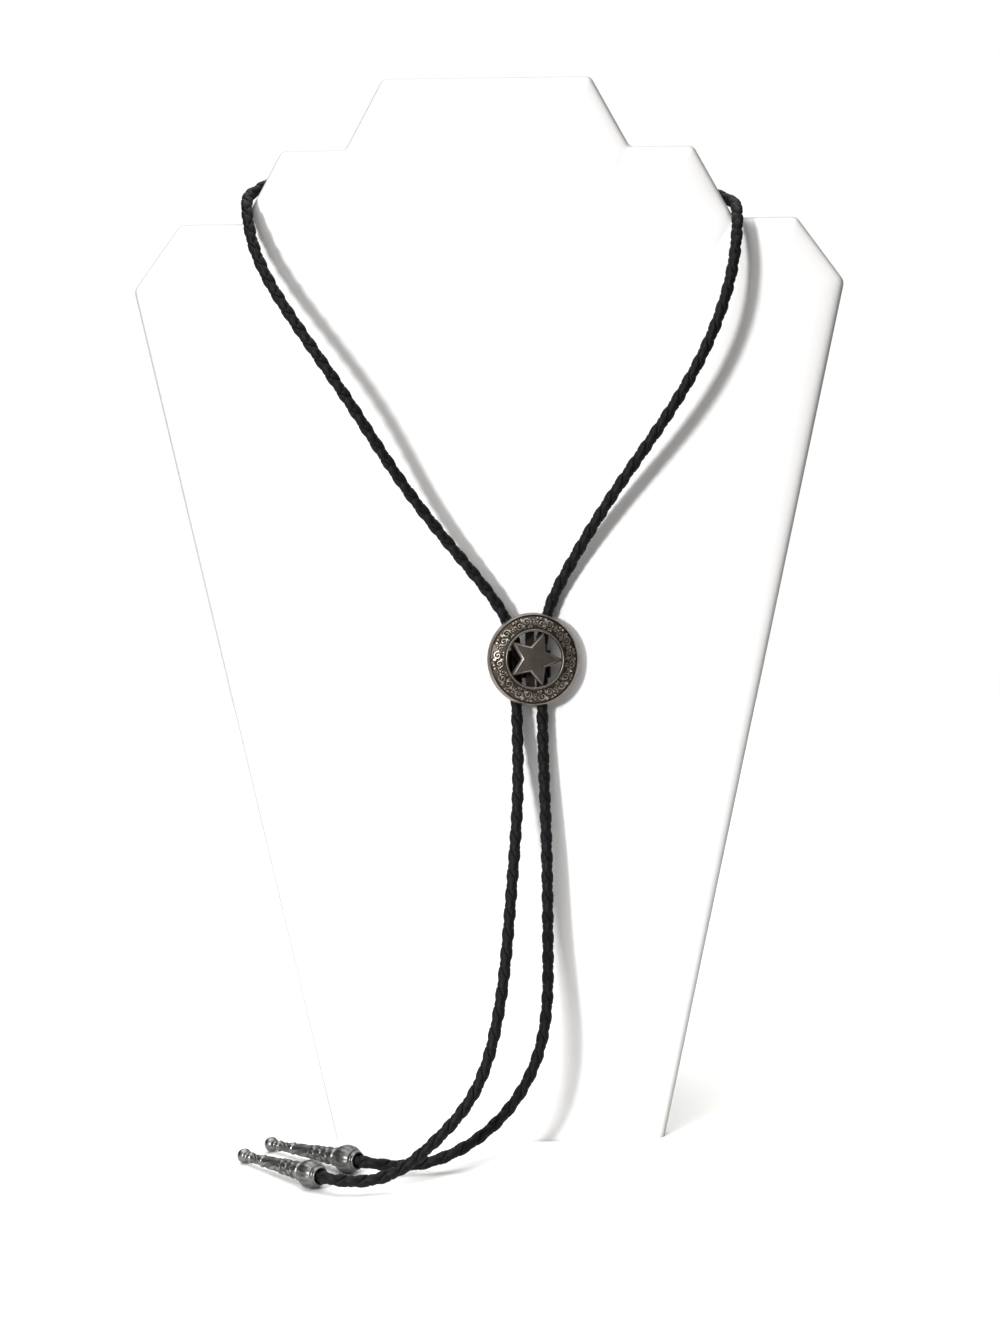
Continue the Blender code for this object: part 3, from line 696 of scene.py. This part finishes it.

# %% [markdown]
# Cast silver metal, antiqued: warm grey where it was polished, nearly black brown where
# the oxide was left. Hollows are duller and scatter the light. The cast skin gets a fine
# bump of noise. Scratches from the polishing wheel are far too thin to show and are left out.

# %% Cast metals
def antiqued_metal(name, high, low, polish, dullness, oxide_metal, casting_mm, cloud_mm):
    """Metal mixed by the recess attribute: colours high and low, roughness polish and dullness."""
    material, tree, shader = new_material(name)
    depth = add(tree, "ShaderNodeAttribute", attribute_name="recess")
    spots = add(tree, "ShaderNodeTexCoord")
    clouds = add(tree, "ShaderNodeTexNoise", {"Vector": spots.outputs["Object"]},
                 {"Scale": 1.0 / (cloud_mm * MM), "Detail": 4.0, "Roughness": 0.6})
    casting = add(tree, "ShaderNodeTexNoise", {"Vector": spots.outputs["Object"]},
                  {"Scale": 1.0 / (casting_mm * MM), "Detail": 3.0, "Roughness": 0.55})
    patchy = add(tree, "ShaderNodeMapRange", {"Value": clouds.outputs["Fac"]},
                 {"From Min": 0.3, "From Max": 0.7, "To Min": -0.16, "To Max": 0.2})
    dark = add(tree, "ShaderNodeMath", {0: depth.outputs["Fac"], 1: patchy.outputs["Result"]},
               operation="ADD", use_clamp=True)
    colour = add(tree, "ShaderNodeMix", {"Factor": dark.outputs[0]}, data_type="RGBA")
    colour.inputs["A"].default_value = linear(high)
    colour.inputs["B"].default_value = linear(low)
    rough = add(tree, "ShaderNodeMapRange", {"Value": dark.outputs[0]},
                {"To Min": polish, "To Max": dullness})
    metal = add(tree, "ShaderNodeMapRange", {"Value": dark.outputs[0]},
                {"From Min": 0.35, "To Min": 1.0, "To Max": oxide_metal})
    skin = add(tree, "ShaderNodeBump", {"Height": casting.outputs["Fac"]},
               {"Strength": 0.22, "Distance": 0.06 * MM})
    tree.links.new(colour.outputs["Result"], shader.inputs["Base Color"])
    tree.links.new(rough.outputs["Result"], shader.inputs["Roughness"])
    tree.links.new(metal.outputs["Result"], shader.inputs["Metallic"])
    tree.links.new(skin.outputs["Normal"], shader.inputs["Normal"])
    return material


antique_silver = antiqued_metal("antiqued_cast_silver", "#a59e96", "#585049",
                                polish=0.41, dullness=0.47, oxide_metal=0.9,
                                casting_mm=0.5, cloud_mm=3.5)
antique_pewter = antiqued_metal("antiqued_cast_pewter", "#858584", "#4a4a4a",
                                polish=0.33, dullness=0.58, oxide_metal=0.7,
                                casting_mm=0.4, cloud_mm=2.5)
concho.data.materials.clear()
concho.data.materials.append(antique_silver)
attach(concho, "root")
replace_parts(concho, "concho")
print("silver and pewter ready")

# %% [markdown]
# The clip behind the disc is a bent strip of plain steel, right as a solid already. It
# stays as it is and only gets its metal: rolled sheet, with streaks along its length
# and a dull grey skin, because nobody polishes what the disc hides.

# %% The clip's steel
steel, tree, shader = new_material("rolled_steel_sheet")
spots = add(tree, "ShaderNodeTexCoord")
stretch = add(tree, "ShaderNodeMapping", {"Vector": spots.outputs["Object"]},
              {"Scale": (1.0, 1.0, 0.12)})
streaks = add(tree, "ShaderNodeTexNoise", {"Vector": stretch.outputs["Vector"]},
              {"Scale": 1.0 / (0.7 * MM), "Detail": 3.0})
grey = add(tree, "ShaderNodeMix", {"Factor": streaks.outputs["Fac"]}, data_type="RGBA")
grey.inputs["A"].default_value = linear("#56504b")
grey.inputs["B"].default_value = linear("#7c766f")
dull = add(tree, "ShaderNodeMapRange", {"Value": streaks.outputs["Fac"]},
           {"To Min": 0.36, "To Max": 0.56})
tree.links.new(grey.outputs["Result"], shader.inputs["Base Color"])
tree.links.new(dull.outputs["Result"], shader.inputs["Roughness"])
shader.inputs["Metallic"].default_value = 1.0
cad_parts["cord_clip"].material_slots[0].material = steel
print("clip keeps its solid")

# %% [markdown]
# Each tip is one casting of dark pewter: a ball, thin collars, a tapering shank with
# slanting leaves and then rows of round bosses, and a fluted bead with a socket for the
# cord. The outline is a table of places and radii, joined by a curve that never
# overshoots them, turned about the axis, with the ornament added to the radius.

# %% Outline and ornament of a tip
TIP_PROFILE = (
    # place along the axis, radius, in millimetres
    (-2.38, 0.25), (-2.1, 1.15), (-1.3, 2.02), (0.0, 2.4), (1.3, 2.02), (2.05, 1.25),
    (2.3, 1.12), (3.2, 1.35), (3.5, 1.7), (3.9, 1.8), (4.3, 1.7), (4.6, 1.4), (9.4, 1.6),
    (9.8, 1.9), (10.2, 2.0), (10.6, 1.9), (11.0, 1.7), (14.0, 1.9), (17.0, 2.05),
    (20.0, 2.2), (23.0, 2.35), (26.0, 2.5), (28.6, 2.6), (29.0, 2.92), (29.4, 3.03),
    (29.8, 2.92), (30.1, 2.7), (31.5, 3.65), (33.0, 4.3), (34.5, 4.5), (36.0, 4.3),
    (37.5, 3.6), (38.05, 2.95), (38.4, 3.0), (38.8, 2.95), (39.1, 2.7),
)
SOCKET_RINGS = ((39.12, 2.5), (39.0, 2.3), (38.2, 2.2), (36.6, 2.2), (36.3, 1.6))
TIP_COLUMNS = 112
TIP_STATIONS = 300
FLUTES = 14
FLUTE_DEPTH = 0.1
LEAVES_ROUND = 4
LEAF_PITCH = 6.0
LEAF_HEIGHT = 0.18
BOSS_ROWS = (20.3, 23.2, 26.1)
BOSSES_ROUND = 6
BOSS_RADIUS = 1.15
BOSS_HEIGHT = 0.34
BEAD_VEIL = 0.2


def steady_curve(knots, values, wanted):
    """Cubic through the knots; a slope is the harmonic mean of its two rises, or nought at a turn."""
    widths, rises = np.diff(knots), np.diff(values) / np.diff(knots)
    product = rises[:-1] * rises[1:]
    total = np.where(rises[:-1] + rises[1:] == 0, 1.0, rises[:-1] + rises[1:])
    slopes = np.concatenate([rises[:1], np.where(product > 0, 2 * product / total, 0.0),
                             rises[-1:]])
    i = np.clip(np.searchsorted(knots, wanted, side="right") - 1, 0, len(widths) - 1)
    t, h = (wanted - knots[i]) / widths[i], widths[i]
    return (values[i] * (1 + 2 * t) * (1 - t) ** 2 + values[i + 1] * t ** 2 * (3 - 2 * t)
            + slopes[i] * h * t * (1 - t) ** 2 + slopes[i + 1] * h * t ** 2 * (t - 1))


def window(along, start, end, blend):
    """One between start and end, fading to nought over the blend at both."""
    return smooth_step((along - start) / blend) * smooth_step((end - along) / blend)


def tip_ornament(along, turn, radius):
    """Height in millimetres and hollow from 0 to 1.

    Leaves are the positive half of a cosine that winds round the shank. Bosses are
    domes in rows, every other row shifted by half a step. Flutes are a cosine on the bead.
    """
    slant = np.cos(LEAVES_ROUND * turn + 2 * math.pi * along / LEAF_PITCH)
    leaf = np.clip(slant + 0.1, 0.0, 1.0) ** 0.7 * window(along, 11.4, 18.9, 0.5)
    ticks = np.clip(np.cos(2 * LEAVES_ROUND * turn - 2 * math.pi * along / 1.9), 0.0, 1.0)
    ticks = ticks * window(along, 4.9, 9.2, 0.4)
    boss = np.zeros(np.broadcast(along, turn).shape)
    step = 2 * math.pi / BOSSES_ROUND
    for i, middle in enumerate(BOSS_ROWS):
        off = (turn + (i % 2) * step / 2 + step / 2) % step - step / 2
        boss = np.maximum(boss, 1.0 - ((along - middle) ** 2 + (off * radius) ** 2) / BOSS_RADIUS ** 2)
    boss = np.sqrt(np.clip(boss, 0.0, 1.0))
    flute = (0.5 - 0.5 * np.cos(FLUTES * turn)) ** 1.5 * window(along, 30.6, 38.0, 1.2)
    height = LEAF_HEIGHT * leaf + 0.12 * ticks + BOSS_HEIGHT * boss - FLUTE_DEPTH * flute
    shank = window(along, 11.2, 28.4, 0.5) + window(along, 4.8, 9.3, 0.4)
    hollow = 0.7 * shank * (1.0 - np.maximum(np.maximum(leaf, ticks), boss))
    bead = window(along, 29.9, 38.2, 0.8)
    hollow = np.maximum(hollow, BEAD_VEIL * bead + (0.6 - BEAD_VEIL) * flute)
    collars = window(along, 2.2, 3.3, 0.3) + window(along, 38.9, 50.0, 0.2)
    return height, np.clip(hollow + 0.7 * collars, 0.0, 1.0)


knots, radii = np.array(TIP_PROFILE).T
tip_along = np.linspace(knots[0], knots[-1], TIP_STATIONS)
tip_radius = steady_curve(knots, radii, tip_along)
print("widest place of a tip:", round(2 * float(tip_radius.max()), 1), "mm")

# %% [markdown]
# The tip is closed at both ends: a small flat cap on the ball, and the floor of the
# socket. The socket goes in past the mouth, so that the cord is seen to enter the metal.

# %% The two tips
def make_tip(name, matrix):
    """Turned outline with its ornament, then the socket's rings; both ends are closed."""
    turn = 2 * math.pi * np.arange(TIP_COLUMNS) / TIP_COLUMNS
    height, hollow = tip_ornament(tip_along[:, None], turn[None, :], tip_radius[:, None])
    radius = tip_radius[:, None] + height
    socket_place, socket_radius = np.array(SOCKET_RINGS).T
    places = np.concatenate([tip_along, socket_place])
    radius = np.vstack([radius, np.repeat(socket_radius[:, None], TIP_COLUMNS, axis=1)]) * MM
    hollow = np.vstack([hollow, np.ones((len(SOCKET_RINGS), TIP_COLUMNS))])
    spots = np.stack([np.repeat(places[:, None] * MM, TIP_COLUMNS, axis=1),
                      radius * np.cos(turn), radius * np.sin(turn)], axis=-1)
    first = np.arange(TIP_COLUMNS)
    tip = new_piece(name, place(matrix, spots.reshape(-1, 3)), grid_quads(len(places), TIP_COLUMNS),
                    caps=[first[::-1], first + (len(places) - 1) * TIP_COLUMNS],
                    materials=[antique_pewter], crease=48)
    set_attribute(tip, "recess", hollow)
    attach(tip, "root")
    return tip


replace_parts(make_tip("front_cord_tip", FRONT_TIP), "front_tip")
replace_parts(make_tip("rear_cord_tip", REAR_TIP), "rear_tip")

# %% [markdown]
# The display board is stiff board under a thin sheet of foam, covered in white
# leatherette that is pulled round the edges and glued behind. So its front is flat but
# its edge is soft, the covering is pulled into small creases at the two notches on each
# side, and behind there is a border of folded leatherette round a sheet of card.
# First the outline: straight sides with small rounded corners, and as many points on
# every inset copy of it, so that the copies can be joined ring to ring.

# %% Outline of the board
BOARD_SKIRT = 14.0
BOARD_STEPS = (
    # height up the face, half width, in millimetres
    (0.0, 54.0), (282.0, 117.5), (303.5, 102.0), (303.5, 81.2),
    (327.5, 68.2), (327.5, 47.2), (351.0, 34.5),
)
CORNER_CUT = 1.6
CORNER_STEPS = 6
SIDE_SPACING = 6.0

foot_flare = (BOARD_STEPS[1][1] - BOARD_STEPS[0][1]) / BOARD_STEPS[1][0]
right_side = [(BOARD_STEPS[0][1] - foot_flare * BOARD_SKIRT, -BOARD_SKIRT)]
right_side += [(half, height) for height, half in BOARD_STEPS[1:]]
board_outline = np.array(right_side + [(-x, up) for x, up in reversed(right_side)])
side_lengths = np.linalg.norm(np.roll(board_outline, -1, axis=0) - board_outline, axis=1)


def outline_ring(inset):
    """The outline moved inwards, as many points on each side whatever the inset.

    A corner is a parabola from a cut before it to a cut after it; a side is even steps.
    """
    corners = inset_outline(board_outline, inset)
    t = np.linspace(0.0, 1.0, CORNER_STEPS)[:, None]
    ring = []
    for i, corner in enumerate(corners):
        after = corners[(i + 1) % len(corners)]
        beyond = corners[(i + 2) % len(corners)]
        start = corner + CORNER_CUT * unit(after - corner)
        end = after - CORNER_CUT * unit(after - corner)
        leaving = after + CORNER_CUT * unit(beyond - after)
        steps = np.linspace(0.0, 1.0, int(side_lengths[i] / SIDE_SPACING) + 2)[:-1, None]
        ring += [start + steps * (end - start),
                 (end * (1 - t) ** 2 + 2 * after * t * (1 - t) + leaving * t ** 2)[:-1]]
    return np.vstack(ring)


ring_size = len(outline_ring(0.0))
print("points on each ring of the board:", ring_size)

# %% [markdown]
# Now the skin. From the front face the rings roll over the foam to the side, turn
# behind, run over the folded border and step down to the card. The front face inside
# the first ring is a net of triangles about 5 mm wide, so that the covering can dip.

# %% The padded board
BOARD_EDGE = (
    # inset from the outline, depth behind the front face, in millimetres
    (10.0, 0.0), (8.5, 0.05), (7.0, 0.14), (5.6, 0.3), (4.4, 0.52), (3.4, 0.78), (2.5, 1.1),
    (1.8, 1.5), (1.2, 1.98), (0.7, 2.55), (0.35, 3.15), (0.12, 3.8), (0.0, 4.5), (0.0, 6.2),
    (0.0, 7.8), (0.1, 8.35), (0.35, 8.75), (0.8, 8.98), (1.6, 9.02), (5.0, 9.02), (10.0, 9.02),
    (15.6, 9.02), (15.9, 8.96), (16.0, 8.8), (16.1, 8.65),
)
NET_SPACING = 5.0
NET_MARGIN = 12.5
NOTCHES = ((81.2, 303.5), (47.2, 327.5))
CREASE_REACH = 13.0
CREASE_DEPTH = 0.32
CREASES_ROUND = 9.0
FOAM_DIP = 0.16


def half_width(up):
    """Half the board's width at a height up the face, from its table of steps."""
    height, half = np.array(BOARD_STEPS).T
    return np.interp(up, height + np.arange(len(height)) * 1e-6, half, right=0.0)


def net_points():
    """Places of an offset grid that lie well inside the outline: narrower below, beside and above."""
    up, x = np.meshgrid(np.arange(-BOARD_SKIRT + 12.0, 351.0, NET_SPACING),
                        np.arange(-120.0, 120.0, NET_SPACING), indexing="ij")
    x = x + NET_SPACING / 2 * (np.arange(len(x)) % 2)[:, None]
    room = np.minimum.reduce([half_width(np.maximum(up + step, 0.0))
                              for step in (-NET_MARGIN, 0.0, NET_MARGIN)])
    inside = (np.abs(x) < room - NET_MARGIN) & (room > 0)
    return np.column_stack([x[inside], up[inside]])


def covering_dip(x, up):
    """Millimetres that the covering lies below flat: slow waves of the foam, and creases.

    Creases are a cosine of the angle round a notch's corner, strongest near the corner.
    """
    foam = 0.5 + 0.25 * np.sin(x / 23.0 + 0.7) * np.cos(up / 31.0) + 0.25 * np.sin(
        (x + 2.0 * up) / 47.0)
    dip = FOAM_DIP * foam
    for notch_x, notch_up in NOTCHES:
        from_notch = np.hypot(np.abs(x) - notch_x, up - notch_up)
        angle = np.arctan2(up - notch_up, np.abs(x) - notch_x)
        fold = (0.5 + 0.5 * np.cos(CREASES_ROUND * angle)) ** 3
        dip = dip + CREASE_DEPTH * fold * np.exp(-(from_notch / CREASE_REACH) ** 2)
    return dip


rings = [outline_ring(inset) for inset, _ in BOARD_EDGE]
depths = np.repeat([depth for _, depth in BOARD_EDGE], ring_size)
net = net_points()
flat_points = [Vector(point) for point in np.vstack([rings[0], net])]
loop = [(i, (i + 1) % ring_size) for i in range(ring_size)]
flat_made, _, triangles, _, _, _ = delaunay_2d_cdt(flat_points, loop, [], 1, 1e-6)
print("net of", len(triangles), "triangles, points kept:", len(flat_made) == len(flat_points))

# %% [markdown]
# The leaning board stands on its lower edge, which is cut level. So the skin is made
# longer than it has to be, by a skirt, and then everything under the floor is sliced
# off and the cut is closed with one flat face.

# %% Skin of the board, cut flat at the floor
def made_board():
    """Rings round the outline, the net in front and a flat cap behind, cut at height nought."""
    flat = np.vstack([np.vstack(rings), net])
    behind = np.concatenate([depths, np.zeros(len(net))])
    share = np.exp(-(behind / 0.6) ** 2) * (behind < 2.0)
    behind = behind + covering_dip(flat[:, 0], flat[:, 1]) * share
    net_start = len(BOARD_EDGE) * ring_size
    corners = np.array(triangles)
    corners = np.where(corners < ring_size, corners, corners - ring_size + net_start)
    back_cap = np.arange(ring_size) + (len(BOARD_EDGE) - 1) * ring_size
    quads = grid_quads(len(BOARD_EDGE), ring_size)
    points = board_points(flat[:, 0] * MM, flat[:, 1] * MM, -behind * MM)
    return new_piece("padded_board", points, quads[:, ::-1], caps=[*corners, back_cap], closed=False)


board = made_board()
skin = bmesh.new()
skin.from_mesh(board.data)
bmesh.ops.bisect_plane(skin, geom=skin.verts[:] + skin.edges[:] + skin.faces[:],
                       plane_co=(0.0, 0.0, 0.0), plane_no=(0.0, 0.0, -1.0), clear_outer=True)
bmesh.ops.edgeloop_fill(skin, edges=[edge for edge in skin.edges if edge.is_boundary])
bmesh.ops.recalc_face_normals(skin, faces=skin.faces)
skin.to_mesh(board.data)
open_edges = sum(not edge.is_manifold for edge in skin.edges)
skin.free()
board.data.shade_smooth()
board.data.set_sharp_from_angle(angle=math.radians(40))
print("board's open edges:", open_edges, "faces:", len(board.data.polygons))

# %% [markdown]
# White leatherette is a vinyl skin embossed with a fine pebble grain, satin and a
# little soft. Its turned edges are painted grey as shade, the thin dark line where the
# covering rolls away from the light. The grain of the real one is about half a
# millimetre, drawn at 0.9 mm so that it shows. The card behind is matt, faintly
# fibrous paper board.

# %% Leatherette and card
GRAIN = 0.9 * MM
FIBRE = 1.6 * MM

leatherette, tree, shader = new_material("white_vinyl_leatherette")
spots = add(tree, "ShaderNodeTexCoord")
painted_edge_shade = add(tree, "ShaderNodeAttribute", attribute_name="edge")
pebbles = add(tree, "ShaderNodeTexVoronoi", {"Vector": spots.outputs["Object"]},
              {"Scale": 1.0 / GRAIN}, feature="SMOOTH_F1")
dulling = add(tree, "ShaderNodeTexNoise", {"Vector": spots.outputs["Object"]},
              {"Scale": 1.0 / (40.0 * MM), "Detail": 3.0})
# Painted shade: the turned edges are mixed towards grey by the edge attribute.
white = add(tree, "ShaderNodeMix", {"Factor": painted_edge_shade.outputs["Fac"]}, data_type="RGBA")
white.inputs["A"].default_value = linear("#f2f1f0")
white.inputs["B"].default_value = linear("#b3b1ae")
satin = add(tree, "ShaderNodeMapRange", {"Value": dulling.outputs["Fac"]},
            {"To Min": 0.42, "To Max": 0.56})
emboss = add(tree, "ShaderNodeBump", {"Height": pebbles.outputs["Distance"]},
             {"Strength": 0.18, "Distance": 0.1 * MM})
tree.links.new(white.outputs["Result"], shader.inputs["Base Color"])
tree.links.new(satin.outputs["Result"], shader.inputs["Roughness"])
tree.links.new(emboss.outputs["Normal"], shader.inputs["Normal"])
shader.inputs["Specular IOR Level"].default_value = 0.35

card, tree, shader = new_material("paper_covered_card")
spots = add(tree, "ShaderNodeTexCoord")
fibres = add(tree, "ShaderNodeTexNoise", {"Vector": spots.outputs["Object"]},
             {"Scale": 1.0 / FIBRE, "Detail": 6.0, "Roughness": 0.7})
paper = add(tree, "ShaderNodeMix", {"Factor": fibres.outputs["Fac"]}, data_type="RGBA")
paper.inputs["A"].default_value = linear("#d9d6d0")
paper.inputs["B"].default_value = linear("#eeece8")
tooth = add(tree, "ShaderNodeBump", {"Height": fibres.outputs["Fac"]},
            {"Strength": 0.25, "Distance": 0.08 * MM})
tree.links.new(paper.outputs["Result"], shader.inputs["Base Color"])
tree.links.new(tooth.outputs["Normal"], shader.inputs["Normal"])
shader.inputs["Roughness"].default_value = 0.88

board.data.materials.append(leatherette)
board.data.materials.append(card)
foot = board_points(0.0, 0.0, 0.0)
points = np.empty(len(board.data.vertices) * 3, np.float32)
board.data.vertices.foreach_get("co", points)
behind_face = -(points.reshape(-1, 3) - foot) @ FACE_OUT / MM
# The edge attribute marks where shade is painted: the rolled sides, from 1.2 mm behind the face to the
# back.
set_attribute(board, "edge", smooth_step((behind_face - 1.2) / 2.4)
              * smooth_step((9.0 - behind_face) / 0.6))
face_middles = np.empty(len(board.data.polygons) * 3, np.float32)
face_normals = np.empty(len(board.data.polygons) * 3, np.float32)
board.data.polygons.foreach_get("center", face_middles)
board.data.polygons.foreach_get("normal", face_normals)
face_depths = -(face_middles.reshape(-1, 3) - foot) @ FACE_OUT / MM
on_card = (face_normals.reshape(-1, 3) @ FACE_OUT < -0.98) & (np.abs(face_depths - 8.65) < 0.05)
board.data.polygons.foreach_set("material_index", on_card.astype(np.int32))
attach(board, "root")
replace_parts(board, "display_board")
print("faces of card:", int(on_card.sum()))

# %% [markdown]
# The easel leg is a strip of card, covered in paper: its upper end is a flap glued to
# the board's back, and below a pressed crease it swings out to the table. Its side view
# is a bent strip, wider at the foot. A small bevel rounds the paper at its edges.

# %% The easel leg
LEG_HINGE = 232.0 * MM
LEG_FLAP = 26.0 * MM
LEG_THICK = 3.2 * MM
LEG_SPREAD = math.radians(17.0)
LEG_TOP_WIDTH = 56.0 * MM
LEG_FOOT_WIDTH = 74.0 * MM
LEG_ROUNDING = 0.7 * MM
CREASE_HALF = 1.1 * MM
CREASE_IN = 0.5 * MM


def line_meeting(point_a, along_a, point_b, along_b):
    """Where two lines in a plane meet: solve a + s * along_a = b + t * along_b for s."""
    step = np.linalg.solve(np.column_stack([along_a, -along_b]), point_b - point_a)
    return point_a + step[0] * along_a


def leg_outline():
    """Side view (y, z) from the flap's top down the front, along the foot and up the back."""
    flap_back = -(BOARD_THICK + GAP)
    flap_top, hinge = board_points(0.0, np.array([LEG_HINGE + LEG_FLAP, LEG_HINGE]), flap_back)[:, 1:]
    flap_rear = board_points(0.0, LEG_HINGE + LEG_FLAP, flap_back - LEG_THICK)[1:]
    down = np.array([math.sin(LEG_SPREAD), -math.cos(LEG_SPREAD)])
    outward = np.array([math.cos(LEG_SPREAD), math.sin(LEG_SPREAD)])
    rear_start = hinge + LEG_THICK * outward
    elbow = line_meeting(flap_rear, FACE_UP[1:], rear_start, down)
    floor_spot, level = np.zeros(2), np.array([1.0, 0.0])
    foot_front = line_meeting(hinge, down, floor_spot, level)
    foot_rear = line_meeting(rear_start, down, floor_spot, level)
    crease = [elbow + CREASE_HALF * down, elbow - CREASE_IN * outward,
              elbow + CREASE_HALF * FACE_UP[1:]]
    return np.array([flap_top, hinge, foot_front, foot_rear, *crease, flap_rear])


leg_side = leg_outline()
leg_half = (LEG_FOOT_WIDTH + (LEG_TOP_WIDTH - LEG_FOOT_WIDTH) * leg_side[:, 1] / leg_side[0, 1]) / 2
leg_sides = [np.column_stack([hand * leg_half, leg_side]) for hand in (-1.0, 1.0)]
count = len(leg_side)
leg = new_piece("folding_leg", np.vstack(leg_sides), grid_quads(2, count),
                caps=[np.arange(count)[::-1], np.arange(count) + count], materials=[card], crease=35)
rounding = leg.modifiers.new("rounded_paper", "BEVEL")
rounding.width = LEG_ROUNDING
rounding.segments = 3
rounding.limit_method = "ANGLE"
rounding.angle_limit = math.radians(30)
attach(leg, "root")
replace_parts(leg, "easel_leg")
print("leg reaches", round(float(leg_side[:, 0].max()) / MM), "mm behind the middle")

# %% [markdown]
# The floor is a plain, pale, matt table top. It ends 22 cm in front of the board: white
# floor throws light back up, and a larger one would wash out the cord's shadow. The
# main lamp is low on the left in front, near enough to leave the board's right side a
# little greyer, and small enough to throw the cord's shadow to the right; a weak one
# above it picks out the metal. An even light from overhead, level with the board's lean
# so that it passes along the face, keeps the floor white, and a lamp high behind shows
# the back. The surroundings look white behind the object but light it only dimly, so
# that the metal keeps its dark tones.

# %% Floor, lamps and surroundings
FLOOR_SIDE = 0.7
FLOOR_FRONT = -0.22
FLOOR_BACK = 1.0
FLOOR_GAP = 0.1 * MM
floor_corners = np.array([(-FLOOR_SIDE, FLOOR_FRONT), (FLOOR_SIDE, FLOOR_FRONT),
                          (FLOOR_SIDE, FLOOR_BACK), (-FLOOR_SIDE, FLOOR_BACK)])
floor_material, tree, shader = new_material("matt_white_paper")
shader.inputs["Base Color"].default_value = linear("#fbfbfa")
shader.inputs["Roughness"].default_value = 0.95
floor = new_piece("floor", np.column_stack([floor_corners, np.full(4, -FLOOR_GAP)]),
                  np.array([[0, 1, 2, 3]]), materials=[floor_material], closed=False)

TARGET = Vector((0.0, 0.02, 0.16))
LAMPS = (
    # name, place in metres, width of its disc, watts
    ("key_lamp", (-0.72, -1.09, 0.5), 0.17, 16.0),
    ("high_lamp", (-0.6, -1.34, 1.0), 0.62, 5.5),
    ("rear_lamp", (-0.7, 1.5, 1.7), 2.2, 8.0),
)
for name, spot, width, watts in LAMPS:
    light = bpy.data.lights.new(name, "AREA")
    light.shape = "DISK"
    light.size = width
    light.energy = watts
    lamp = bpy.data.objects.new(name, light)
    lamp.location = spot
    lamp.rotation_euler = (TARGET - lamp.location).to_track_quat("-Z", "Y").to_euler()
    bpy.context.scene.collection.objects.link(lamp)

OVERHEAD_STRENGTH = 3.4
OVERHEAD_SOFTNESS = math.radians(80.0)
overhead = bpy.data.lights.new("overhead_light", "SUN")
overhead.energy = OVERHEAD_STRENGTH
overhead.angle = OVERHEAD_SOFTNESS
overhead_lamp = bpy.data.objects.new("overhead_light", overhead)
overhead_lamp.rotation_euler = (-BOARD_LEAN, 0.0, 0.0)
bpy.context.scene.collection.objects.link(overhead_lamp)

ROOM_SEEN = 1.03
ROOM_LIGHT = 0.08
MIDTONES = 0.85
world = bpy.data.worlds.new("studio")
bpy.context.scene.world = world
world.use_nodes = True
room = world.node_tree
seen = room.nodes["Background"]
seen.inputs["Color"].default_value = linear("#fdfdfc")
seen.inputs["Strength"].default_value = ROOM_SEEN
lit = add(room, "ShaderNodeBackground", values={"Color": linear("#fbfaf8"), "Strength": ROOM_LIGHT})
rays = add(room, "ShaderNodeLightPath")
choice = add(room, "ShaderNodeMixShader", {"Fac": rays.outputs["Is Camera Ray"],
                                           1: lit.outputs[0], 2: seen.outputs[0]})
room.links.new(choice.outputs[0], room.nodes["World Output"].inputs["Surface"])
bpy.context.scene.view_settings.view_transform = "Standard"
bpy.context.scene.view_settings.gamma = MIDTONES
print(len(LAMPS), "lamps and the overhead light")
